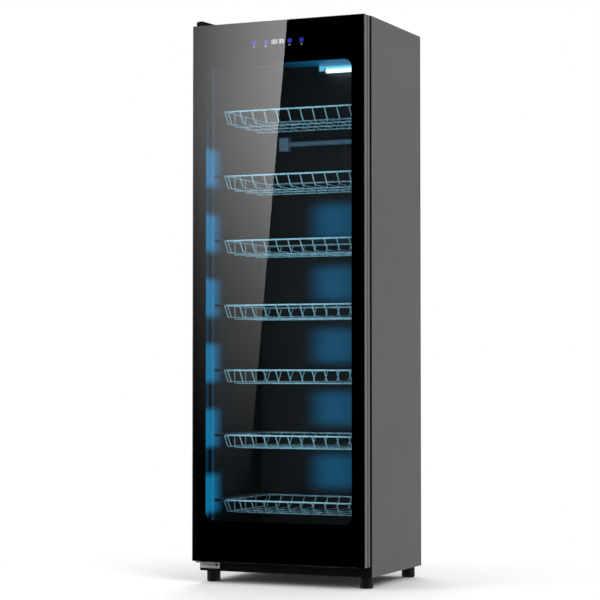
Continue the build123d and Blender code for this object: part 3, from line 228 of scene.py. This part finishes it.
def back_glow(sheet):
    """Painted glow on the right half of the back wall, for the light that reaches it, a little less
    at its far side.
    """
    patch = sheet.span("X", *back_reach) * (1.0 - 0.5 * sheet.span("X", *back_fall))
    return by_level(sheet, back_middle, back_count, -0.8, 0.7) * patch * 0.6


def ceiling_glow(sheet):
    """Painted glow round the lamp on the ceiling, for its light."""
    return sheet.span("X", *ceiling_reach) * 0.8


def liner_sheet(name, glow=None):
    """The liner's steel, with a painted blue glow where a glow is given."""
    sheet = Finish(name, metallic=0.55)
    brushing = sheet.noise(60.0, 2.0, (1.0, 1.0, 14.0))
    smudges = sheet.noise(5.0, 3.0)
    sheet.feed("Base Color", sheet.mix(smudges, (0.044, 0.042, 0.041), (0.064, 0.061, 0.060)))
    sheet.feed("Roughness", 0.42 + brushing * 0.14)
    sheet.bump(brushing, 0.10, 0.0003)
    if glow:
        sheet.feed("Emission Strength", 1.0)
        sheet.feed("Emission Color", sheet.mix(glow(sheet), unlit, blue_glow))
    return sheet


dress(liner_sheet("liner_sides", wall_glow), "liner_right", "liner_left")
dress(liner_sheet("liner_rear", back_glow), "liner_back")
dress(liner_sheet("liner_ceiling", ceiling_glow), "liner_top")
dress(liner_sheet("liner_steel"), "liner_floor")

# The strips' light on the inner border of the body's front edge is painted on as well, as a glow.
border_x = 0.252         # the border lies nearer to the middle than this
sideways = body_coat.along("X")
inner_border = front_shade_and_glow * (sideways * sideways).below(border_x ** 2)
border_light = inner_border * by_level(body_coat, side_middle, side_count)
body_coat.feed("Emission Strength", 1.0)
body_coat.feed("Emission Color", body_coat.mix(border_light, unlit, edge_glow))

# ---------------------------------------------------------------- basket channels
# Folded channels on both side walls, of the liner's sheet but with a duller finish, one pair for
# each basket, whose rim slides in them.
channel_steel = Finish("channel_steel", metallic=0.4)
channel_tone = channel_steel.noise(40.0)
channel_steel.feed("Base Color", channel_steel.mix(
    channel_tone, (0.12, 0.15, 0.17), (0.17, 0.20, 0.22)))
channel_steel.feed("Roughness", 0.42 + channel_tone * 0.1)
dress(channel_steel, "runners_right", "runners_left")

# ---------------------------------------------------------------- insulation
# Boards of stiff foam fill the hollow between the outer sheets and the liner. They are cream, with
# open pores at their cut faces, and are held by the sheets alone.
foam = Finish("foam_board", roughness=0.95)
pores = foam.noise(420.0, 3.0)
foam.feed("Base Color", foam.mix(pores, (0.52, 0.47, 0.33), (0.70, 0.65, 0.50)))
foam.bump(pores, 0.5, 0.001)
dress(foam, "insulation")

# ---------------------------------------------------------------- baskets
# Each basket is welded from round wire: a thick rim, wires bent front to back that lean in under
# the rim, and cross wires below them that come up to the sides of the rim. Coated pale, with the
# cabinet's blue light painted into the coat as a cyan tint.
wire_coat = Finish("wire_coat", metallic=0.35, coat_weight=0.3, coat_roughness=0.1)
wire_tone = wire_coat.noise(40.0)
wire_coat.feed("Base Color", wire_coat.mix(wire_tone, (0.46, 0.72, 0.82), (0.54, 0.82, 0.92)))
wire_coat.feed("Roughness", 0.22 + wire_tone * 0.12)


def bend(corners, radius, closed=False, steps=5):
    """The path of a wire: straight between the corners, and a small arc at each bend."""
    path = []
    count = len(corners)
    for index, corner in enumerate(corners):
        if not closed and index in (0, count - 1):
            path.append(corner)
            continue
        back = (corners[index - 1] - corner).normalized()
        ahead = (corners[(index + 1) % count] - corner).normalized()
        half = back.angle(ahead) / 2
        reach = radius / math.tan(half)
        centre = corner + (back + ahead).normalized() * (radius / math.sin(half))
        start = corner + back * reach - centre
        finish = corner + ahead * reach - centre
        for step in range(steps + 1):
            path.append(centre + start.slerp(finish, step / steps))
    return path


def rod(shape, path, radius, flat, sides=10, closed=False):
    """A round rod along a path in one plane: a ring at each point, bridged to the one before."""
    rings = []
    count = len(path)
    for index, point in enumerate(path):
        along = Vector()
        if closed or index > 0:
            along += (point - path[index - 1]).normalized()
        if closed or index < count - 1:
            along += (path[(index + 1) % count] - point).normalized()
        along.normalize()
        turn = Matrix((flat, along.cross(flat), along)).transposed().to_4x4()
        ring = bmesh.ops.create_circle(shape, segments=sides, radius=radius,
                                       matrix=Matrix.Translation(point) @ turn)["verts"]
        rings.append(list({edge for vert in ring for edge in vert.link_edges}))
    pairs = list(zip(rings, rings[1:]))
    if closed:
        pairs.append((rings[-1], rings[0]))
    for first, second in pairs:
        bmesh.ops.bridge_loops(shape, edges=first + second)
    if not closed:
        bmesh.ops.holes_fill(shape, edges=rings[0] + rings[-1], sides=0)


def in_metres(name, shape, finish):
    """An object from a shape made in millimetres."""
    bmesh.ops.scale(shape, vec=(0.001, 0.001, 0.001), verts=shape.verts)
    mesh = bpy.data.meshes.new(name)
    shape.to_mesh(mesh)
    shape.free()
    mesh.materials.append(finish.material)
    made = bpy.data.objects.new(name, mesh)
    scene.collection.objects.link(made)
    return made


def piece(name, shape, finish, body, instead_of=(), soft_edge=35.0):
    """A piece of the cabinet that rides on a body, smooth where its faces meet at a small angle."""
    bmesh.ops.recalc_face_normals(shape, faces=shape.faces)
    made = in_metres(name, shape, finish)
    made.data.polygons.foreach_set("use_smooth", [True] * len(made.data.polygons))
    made.data.set_sharp_from_angle(angle=math.radians(soft_edge))
    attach(made, body)
    if instead_of:
        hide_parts(*instead_of)


basket_pitch = 193.0
basket_count = 7
rim_z = 241.0            # of the lowest basket
rim_x = 211.0
rim_front = -152.5
rim_back = 154.5
rim_r = 2.5
rim_bend = 9.0
rim_sides = 12
wire_r = 1.5
wire_bend = 5.0
wire_z = rim_z - 38.0
wire_lean = 22.0         # a wire stands in by this at its foot
wire_in = 1.5            # ends of the wires inside the line of the rim
cross_z = wire_z - 2 * wire_r
cross_x = 209.3
cross_bend = 3.0
long_wires = [39.0 * step for step in range(-5, 6)] + [-205.5, 205.5]
cross_wires = [-74.5, 1.0, 76.5]
along_x = Vector((1.0, 0.0, 0.0))
along_y = Vector((0.0, 1.0, 0.0))
along_z = Vector((0.0, 0.0, 1.0))

for level in range(basket_count):
    rise = along_z * (level * basket_pitch)
    basket = bmesh.new()
    rim = [Vector((x, y, rim_z)) + rise for x, y in (
        (-rim_x, rim_front), (rim_x, rim_front), (rim_x, rim_back), (-rim_x, rim_back))]
    rod(basket, bend(rim, rim_bend, closed=True), rim_r, along_z, rim_sides, closed=True)
    for x in long_wires:
        front = rim_front + wire_in
        back = rim_back - wire_in
        wire = [Vector((x, y, z)) + rise for y, z in (
            (front, rim_z), (front + wire_lean, wire_z),
            (back - wire_lean, wire_z), (back, rim_z))]
        rod(basket, bend(wire, wire_bend), wire_r, along_x)
    for y in cross_wires:
        wire = [Vector((x, y, z)) + rise for x, z in (
            (-cross_x, rim_z), (-cross_x, cross_z), (cross_x, cross_z), (cross_x, rim_z))]
        rod(basket, bend(wire, cross_bend), wire_r, along_y)
    number = level + 1
    piece(f"basket_wires_{number}", basket, wire_coat, f"basket_{number}_body",
          [f"basket_{number}"])

# ---------------------------------------------------------------- door glass
# Front pane of toughened glass with ground edges, lightly tinted, and behind its border a coat
# of black enamel. A second clear pane closes the back of the window.
door_front = -227.5
door_low = 66.0
door_high = 1648.5
glass_t = 4.9
glass_half = 273.5
ground_edge = 0.6
tinted = Finish("tinted_glass", transmission_weight=1.0, ior=1.5, roughness=0.0)
tinted.feed("Base Color", tinted.mix(
    tinted.noise(2.0, 1.0), (0.80, 0.83, 0.85), (0.82, 0.85, 0.87)))
pane = bmesh.new()
bmesh.ops.create_cube(pane, size=1.0)
bmesh.ops.scale(pane, vec=(2 * glass_half, glass_t, door_high - door_low), verts=pane.verts)
bmesh.ops.translate(pane, vec=(0.0, door_front + glass_t / 2, (door_high + door_low) / 2),
                    verts=pane.verts)
bmesh.ops.bevel(pane, geom=list(pane.edges), offset=ground_edge, segments=2, profile=0.5,
                affect="EDGES", material=-1)
piece("front_pane", pane, tinted, "door", ["door_glass"], soft_edge=0.0)

clear = Finish("clear_glass", transmission_weight=1.0, ior=1.3, roughness=0.0)
clear.feed("Base Color", clear.mix(clear.noise(2.0, 1.0), (0.93, 0.95, 0.95), (0.95, 0.97, 0.97)))
dress(clear, "door_inner_glass")

enamel = Finish("black_enamel", specular_ior_level=0.0)
enamel_tone = enamel.noise(30.0)
enamel.feed("Base Color", enamel.mix(
    enamel_tone, (0.0005, 0.0005, 0.0005), (0.0009, 0.0009, 0.0009)))
enamel.feed("Roughness", 0.5 + enamel_tone * 0.1)
dress(enamel, "door_border_print")

# ---------------------------------------------------------------- door frame
# Extruded aluminium, anodised dark and brushed up and down, with a long groove in the outside of
# each side profile. The lamp tubes' caps and the heater's fins are bare aluminium.
anodised = Finish("anodised_profile", metallic=0.85)
lines = anodised.noise(700.0, 2.0, (1.0, 1.0, 0.01))
anodised.feed("Base Color", anodised.mix(lines, (0.11, 0.11, 0.113), (0.17, 0.17, 0.175)))
anodised.feed("Roughness", 0.36 + lines * 0.12)
anodised.bump(lines, 0.08, 0.0002)
dress(anodised, "door_profile_right", "door_profile_left", "door_rail_top", "door_rail_bottom")

mill = Finish("mill_aluminium", metallic=0.8)
mill_lines = mill.noise(500.0, 2.0, (1.0, 1.0, 0.02))
mill.feed("Base Color", mill.mix(mill_lines, (0.42, 0.43, 0.44), (0.55, 0.56, 0.57)))
mill.feed("Roughness", 0.38 + mill_lines * 0.14)
dress(mill, "tube_caps", "heater")

# ---------------------------------------------------------------- spacer bars
# Black bars hold the two panes apart. The left one carries a painted glow for the strips' light,
# which fades out above the uppermost patch, and the top one a painted glow for that of the lamp.
left_bar_x = -0.22
top_bar_z = 1.52
side_fade = (1.40, 1.30)
top_reach = (-0.10, 0.20)
spacer = Finish("black_spacer", roughness=0.5, specular_ior_level=0.1, emission_strength=1.0)
spacer.feed("Base Color", spacer.mix(
    spacer.noise(200.0), (0.003, 0.003, 0.003), (0.006, 0.006, 0.006)))
bar_glow = 0.15 + 0.95 * by_level(spacer, side_middle, side_count)
side_light = spacer.along("X").below(left_bar_x) * bar_glow * spacer.span("Z", *side_fade)
top_light = spacer.along("Z").above(top_bar_z) * spacer.span("X", *top_reach) * 0.6
spacer.feed("Emission Color", spacer.mix(side_light + top_light, unlit, edge_glow))
dress(spacer, "glass_spacer")

# ---------------------------------------------------------------- gasket
# Four lengths of hollow rubber profile, pressed into the slot at the back of the door's frame.
# Soft and black, matt with a faint sheen of use.
rubber = Finish("gasket_rubber", specular_ior_level=0.3)
wear = rubber.noise(25.0, 3.0)
rubber.feed("Base Color", rubber.mix(wear, (0.012, 0.012, 0.013), (0.028, 0.028, 0.029)))
rubber.feed("Roughness", 0.6 + wear * 0.2)
rubber.bump(rubber.noise(300.0), 0.2, 0.0003)
dress(rubber, "door_gasket")

# ---------------------------------------------------------------- display
# Behind clear places in the enamel: a black board with white digits and two blue touch signs on
# each side of them, and a small white mark printed under each sign, which is given a painted glow.
board = Finish("display_board", roughness=0.6)
board.feed("Base Color", board.mix(
    board.noise(200.0), (0.002, 0.002, 0.003), (0.004, 0.004, 0.006)))
dress(board, "touch_board")


def glowing(name, colour, strength):
    """A lit piece: its light is a little uneven, as through a diffuser."""
    lit = Finish(name, roughness=0.5, emission_strength=strength)
    cloud = lit.noise(90.0, 1.0)
    shade = tuple(0.85 * share for share in colour)
    lit.feed("Base Color", lit.mix(cloud, shade, colour))
    lit.feed("Emission Color", lit.mix(cloud, shade, colour))
    return lit


def bar(shape, middle, width, depth, height):
    """A flat bar about its middle."""
    made = bmesh.ops.create_cube(shape, size=1.0)["verts"]
    bmesh.ops.scale(shape, vec=(width, depth, height), verts=made)
    bmesh.ops.translate(shape, vec=middle, verts=made)


display_z = 1586.5
lit_y = door_front + glass_t + 0.5       # digits and signs, just behind the pane
lit_t = 0.15
digit_w = 6.2
digit_h = 11.5
digit_step = 9.4
digit_places = (-1.72, -0.72, 0.72, 1.72)
stroke = 1.2
upper, lower = 0.5, -0.5
# Each segment: to the left or right, up or down, and whether it lies level.
segments = {
    "a": (0, 1, True), "b": (1, upper, False), "c": (1, lower, False), "d": (0, -1, True),
    "e": (-1, lower, False), "f": (-1, upper, False), "g": (0, 0, True)}
lit_segments = {"0": "abcdef", "3": "abgcd", "5": "afgcd"}
digits = bmesh.new()
for place, digit in zip(digit_places, "0035"):
    for name in lit_segments[digit]:
        side, up, is_level = segments[name]
        middle = (place * digit_step + side * (digit_w - stroke) / 2, lit_y,
                  display_z + up * (digit_h - stroke) / 2)
        if is_level:
            bar(digits, middle, digit_w - stroke, lit_t, stroke)
        else:
            bar(digits, middle, stroke, lit_t, digit_h / 2 - stroke)
for up in (-1, 1):
    bar(digits, (0.0, lit_y, display_z + up * digit_h / 5), stroke, lit_t, stroke)
piece("display_digits", digits, glowing("digit_light", (1.0, 1.0, 1.0), 1.3), "door")

# The signs are rings with, from the left, a switch, a clock, rising heat and a lamp in them.
key_pitch = 38.0
key_places = (-2, -1, 1, 2)
ring_r = 4.6
ring_line_r = 0.7
ring_points = 24
sign_line = 1.0
switch_line = 1.2
long_hand = 3.2
short_hand = 2.8
heat_pitch = 2.2
lamp_r = 1.8
signs = bmesh.new()
for place in key_places:
    middle = Vector((place * key_pitch, lit_y, display_z))
    turns = [Matrix.Rotation(math.tau * point / ring_points, 3, "Y")
             for point in range(ring_points)]
    ring = [middle + turn @ (along_x * ring_r) for turn in turns]
    rod(signs, ring, ring_line_r, along_y, 6, closed=True)
bar(signs, (-2 * key_pitch, lit_y, display_z + 0.8 * ring_r), switch_line, lit_t, ring_r)
bar(signs, (-key_pitch, lit_y, display_z + 1.4), sign_line, lit_t, long_hand)
bar(signs, (-key_pitch + 1.2, lit_y, display_z), short_hand, lit_t, sign_line)
for step in (-1, 0, 1):
    bar(signs, (key_pitch + step * heat_pitch, lit_y, display_z), sign_line, lit_t, ring_r)
facing = Matrix.Rotation(math.radians(90), 4, "X")
lamp_sign = Matrix.Translation((2 * key_pitch, lit_y, display_z)) @ facing
bmesh.ops.create_cone(signs, cap_ends=True, segments=ring_points, radius1=lamp_r, radius2=lamp_r,
                      depth=lit_t, matrix=lamp_sign)
piece("touch_signs", signs, glowing("sign_light", (0.03, 0.03, 0.90), 1.3), "door")

mark_y = door_front + glass_t + 0.05     # printed on the back of the pane
mark_z = display_z - 12.0
mark_w = 5.0
mark_h = 2.0
mark_t = 0.06
marks = bmesh.new()
for place in key_places:
    bar(marks, (place * key_pitch, mark_y, mark_z), mark_w, mark_t, mark_h)
# The printed marks are given a painted glow.
piece("key_marks", marks, glowing("mark_ink_glow", (0.9, 0.9, 0.9), 0.8), "door")

# ---------------------------------------------------------------- hinges
# Pins and screws of plain steel, and a bush of pale plastic in each end of the left profile. A
# zinc-plated plate covers the lower hinge, with a dark line painted across it as the shade of a
# groove, and the screw in its hole is painted dark as the shade in the hole.
plate_screw_z = 0.056    # the plate's screw lies below this and in front of the body
plate_screw_y = -0.17
steel = Finish("plain_steel", metallic=0.9)
steel_tone = steel.noise(80.0)
# Painted shade: the plate's screw is dark where it sits in its hole.
painted_hole_shade = steel.along("Z").below(plate_screw_z) * steel.along("Y").below(plate_screw_y)
bright_steel = steel.mix(steel_tone, (0.34, 0.34, 0.35), (0.46, 0.46, 0.47))
steel.feed("Base Color", steel.mix(painted_hole_shade, bright_steel, (0.01, 0.01, 0.01)))
steel.feed("Roughness", 0.3 + steel_tone * 0.15)
dress(steel, "upper_hinge_pin", "lower_hinge_pin", "hinge_screws", "blower_motor")

groove_low = 0.0515
groove_high = 0.0530
zinc = Finish("zinc_plate", metallic=0.3)
spangle = zinc.noise(140.0, 3.0)
plate_height = zinc.along("Z")
# Painted shade: a dark line across the plate stands for the shade in its groove.
groove_shade = plate_height.above(groove_low) - plate_height.above(groove_high)
plated = zinc.mix(spangle, (0.36, 0.365, 0.37), (0.50, 0.505, 0.51))
zinc.feed("Base Color", zinc.mix(groove_shade, plated, (0.05, 0.05, 0.05)))
zinc.feed("Roughness", 0.35 + spangle * 0.2)
dress(zinc, "lower_hinge_plate")

bush_plastic = Finish("bush_plastic", roughness=0.4)
bush_plastic.feed("Base Color", bush_plastic.mix(
    bush_plastic.noise(60.0), (0.50, 0.50, 0.47), (0.60, 0.60, 0.57)))
dress(bush_plastic, "hinge_bushes")

# ---------------------------------------------------------------- lamps
# A tube below its housing on the ceiling lights the cabinet cold white. The housing has painted
# light on its face beside and above the tube, and painted shade on the rest, and the tube itself is
# brightest in its lower half.
face_low = (1.547, 1.551)             # soft limits of the housing's painted lit face
face_left = (-0.025, -0.021)
face_high = (1.562, 1.566)
tube_middle = (1.5555, 1.5525)
lit_housing = Finish("lit_housing", roughness=0.45, emission_strength=1.0)
painted_lit_face = lit_housing.span("Z", *face_low) * lit_housing.span("X", *face_left)
painted_lit_top = lit_housing.span("Z", *face_high)
face_light = lit_housing.mix(painted_lit_face, (0.004, 0.010, 0.014), (0.12, 0.50, 0.74))
# Painted light and shade: the lit face is pale and glows, the rest of the housing is dark.
lit_housing.feed("Base Color", lit_housing.mix(
    painted_lit_face, (0.02, 0.03, 0.035), (0.25, 0.45, 0.55)))
lit_housing.feed("Emission Color", lit_housing.mix(painted_lit_top, face_light, (0.010, 0.10, 0.19)))
dress(lit_housing, "lamp_housing")

tube_light = Finish("tube_light", roughness=0.5, emission_strength=1.8)
tube_light.feed("Base Color", tube_light.mix(
    tube_light.noise(90.0, 1.0), (0.82, 0.91, 0.95), (0.86, 0.96, 1.0)))
tube_light.feed("Emission Color", tube_light.mix(
    tube_light.span("Z", *tube_middle), (0.10, 0.34, 0.46), (0.84, 0.95, 1.0)))
dress(tube_light, "lamp_tube")

# A germicidal tube, unlit, sits in two plastic holders on the back wall.
lamp_plastic = Finish("lamp_plastic", roughness=0.45)
lamp_plastic.feed("Base Color", lamp_plastic.mix(
    lamp_plastic.noise(50.0), (0.20, 0.28, 0.38), (0.24, 0.32, 0.42)))
dress(lamp_plastic, "uv_holders")

dark_tube = Finish("dark_tube", roughness=0.2)
dark_tube.feed("Base Color", dark_tube.mix(
    dark_tube.noise(50.0), (0.14, 0.20, 0.28), (0.18, 0.25, 0.34)))
dress(dark_tube, "uv_tube")

# A diffuser down each side of the opening glows blue, brightest beside each of the lower baskets.
diffuser = Finish("blue_diffuser", roughness=0.5, emission_strength=1.0)
swell = by_level(diffuser, side_middle, side_count)
diffuser.feed("Base Color", diffuser.mix(swell, (0.02, 0.04, 0.06), (0.04, 0.10, 0.16)))
diffuser.feed("Emission Color", diffuser.mix(swell, (0.002, 0.030, 0.062), edge_glow))
dress(diffuser, "light_strip_left", "light_strip_right")

# ---------------------------------------------------------------- blower and electrics
# In the base: a moulded scroll and wheel, green circuit board with its relays, and a white driver
# box for the lamps.
blower_plastic = Finish("blower_plastic", roughness=0.5)
blower_plastic.feed("Base Color", blower_plastic.mix(
    blower_plastic.noise(120.0), (0.03, 0.03, 0.033), (0.05, 0.05, 0.054)))
blower_plastic.bump(blower_plastic.noise(900.0, 1.0), 0.2, 0.0003)
dress(blower_plastic, "blower_housing", "blower_wheel")

circuit = Finish("circuit_board", roughness=0.45)
traces = circuit.noise(260.0, 1.0).above(0.52)
circuit.feed("Base Color", circuit.mix(traces, (0.015, 0.09, 0.035), (0.03, 0.15, 0.06)))
dress(circuit, "control_board")

white_box = Finish("driver_box", roughness=0.5)
white_box.feed("Base Color", white_box.mix(
    white_box.noise(70.0), (0.56, 0.56, 0.54), (0.64, 0.64, 0.62)))
dress(white_box, "lamp_driver")


# ---------------------------------------------------------------- floor
# A white floor that keeps the cabinet's soft shadow near it. Further off it turns plain white, as
# the world behind it is.
def seen(finish):
    """1 on the rays that look at the background: from the camera, a mirror or through glass."""
    share = finish.add("ShaderNodeLightPath", output="Is Camera Ray")
    for ray in ("Is Glossy Ray", "Is Transmission Ray"):
        share = share.larger(finish.add("ShaderNodeLightPath", output=ray))
    return share


def shine(finish, colour, strength=1.0, share=1.0):
    """Light given off in place of the principled shader, wholly or by a share."""
    light = finish.add("ShaderNodeEmission", inputs={"Color": colour, "Strength": strength})
    base = Value(finish, finish.shader.outputs[0])
    both = finish.add("ShaderNodeMixShader", inputs={0: share, 1: base, 2: light})
    finish.put(finish.tree.nodes["Material Output"].inputs["Surface"], both)


floor_half = 9000.0
fade_start = 0.4         # metres from the middle
fade_end = 1.1
white = (1.0, 1.0, 1.0)
paper = Finish("pale_floor", base_color=(0.9, 0.9, 0.9), roughness=0.9, specular_ior_level=0.0)
away = paper.add("ShaderNodeVectorMath", {"operation": "LENGTH"}, {0: paper.place()}, "Value")
shine(paper, white, share=paper.step(away, fade_start, fade_end) * seen(paper))
floor_shape = bmesh.new()
bmesh.ops.create_grid(floor_shape, x_segments=1, y_segments=1, size=floor_half)
floor = in_metres("floor", floor_shape, paper)
floor.visible_glossy = False


# ---------------------------------------------------------------- cards
# What the front pane mirrors: a dark card far in front of it and another on the floor, and a
# bright one beside the first, with a slanting edge, that fades to the left and downwards.
def card(name, corners, finish, through=False):
    """A flat card that only mirrors see, or also what looks out through the glass."""
    shape = bmesh.new()
    shape.faces.new([shape.verts.new(corner) for corner in corners])
    made = in_metres(name, shape, finish)
    made.visible_camera = False
    made.visible_diffuse = False
    made.visible_transmission = through
    made.visible_shadow = False
    made.visible_volume_scatter = False


card_y = door_front - 3000.0
behind_y = card_y - 30.0
door_gap_y = door_front - 12.5
off_floor = 3.0
dark_left, dark_right = -2600.0, 6500.0
dark_low, dark_high = -1500.0, 4500.0
dark = Finish("dark_card")
shine(dark, unlit)
card("dark_card", [(dark_left, behind_y, dark_low), (dark_right, behind_y, dark_low),
                   (dark_right, behind_y, dark_high), (dark_left, behind_y, dark_high)],
     dark, through=True)
card("low_dark_card", [(dark_left, behind_y, off_floor), (-dark_left, behind_y, off_floor),
                       (-dark_left, door_gap_y, off_floor), (dark_left, door_gap_y, off_floor)],
     dark, through=True)

bright_left = -2400.0
bright_low, bright_high = 32.0, 2400.0
edge_low_x, edge_high_x = -1518.0, -1301.0
pale = Finish("bright_card")
rightward = pale.add("ShaderNodeMapRange", inputs={
    "Value": pale.along("X"), "From Min": -1.86, "From Max": -1.32})
upward = pale.span("Z", 0.0, 2.0)
lit_share = (rightward * upward + 0.25 * upward ** 4.0) * 0.8
shine(pale, pale.mix(lit_share, unlit, white), 6.0)
card("bright_card", [(bright_left, card_y, bright_low), (edge_low_x, card_y, bright_low),
                     (edge_high_x, card_y, bright_high), (bright_left, card_y, bright_high)],
     pale)


# ---------------------------------------------------------------- lights
# Soft lamps from both sides and behind, a weak one inside the cabinet, and an even pale world
# that is white where the camera, a mirror or glass looks at it.
def soft_light(name, spot, aim, size, power):
    """A large square lamp at a spot, turned to a point."""
    lamp = bpy.data.lights.new(name, "AREA")
    lamp.size = size
    lamp.energy = power
    made = bpy.data.objects.new(name, lamp)
    made.location = spot
    made.rotation_euler = (Vector(aim) - Vector(spot)).to_track_quat("-Z", "Y").to_euler()
    made.visible_glossy = False
    scene.collection.objects.link(made)
    return made


soft_light("key", (4.0, -3.0, 3.2), (0.0, 0.0, 0.8), 2.5, 160.0)
soft_light("fill", (-3.5, -3.5, 2.6), (0.0, 0.0, 0.8), 3.0, 110.0)
soft_light("rear", (-1.5, 4.0, 3.4), (0.0, 0.0, 0.9), 3.0, 130.0)
inside = soft_light("inside", (0.0, -0.19, 0.85), (0.0, 0.10, 0.85), 0.40, 2.6)
inside.data.shape = "RECTANGLE"
inside.data.size_y = 1.30
inside.data.color = (0.70, 0.92, 1.0)
inside.visible_camera = False
inside.visible_transmission = False


class Sky(Finish):
    """The world's nodes, made in the same way."""

    def __init__(self, world):
        world.use_nodes = True
        self.tree = world.node_tree
        self.tree.nodes.clear()


scene.world = bpy.data.worlds.new("studio")
sky = Sky(scene.world)
lighting = sky.add("ShaderNodeBackground", inputs={"Color": (0.62, 0.62, 0.63)})
backdrop = sky.add("ShaderNodeBackground", inputs={"Color": white})
both = sky.add("ShaderNodeMixShader", inputs={0: seen(sky), 1: lighting, 2: backdrop})
sky.put(sky.tree.nodes.new("ShaderNodeOutputWorld").inputs["Surface"], both)

# ---------------------------------------------------------------- camera
# From the front right, a little below the middle of the cabinet, with a long lens, so that the
# upright edges stay nearly parallel.
camera = bpy.data.cameras.new("camera")
camera.sensor_width = 36.0
camera.lens = 120.06
camera_object = bpy.data.objects.new("camera", camera)
camera_object.location = (2.40926, -5.51248, 0.63452)
camera_object.rotation_euler = (math.radians(91.94), 0.0, math.radians(23.85))
scene.collection.objects.link(camera_object)
scene.camera = camera_object
scene.view_settings.view_transform = "Standard"
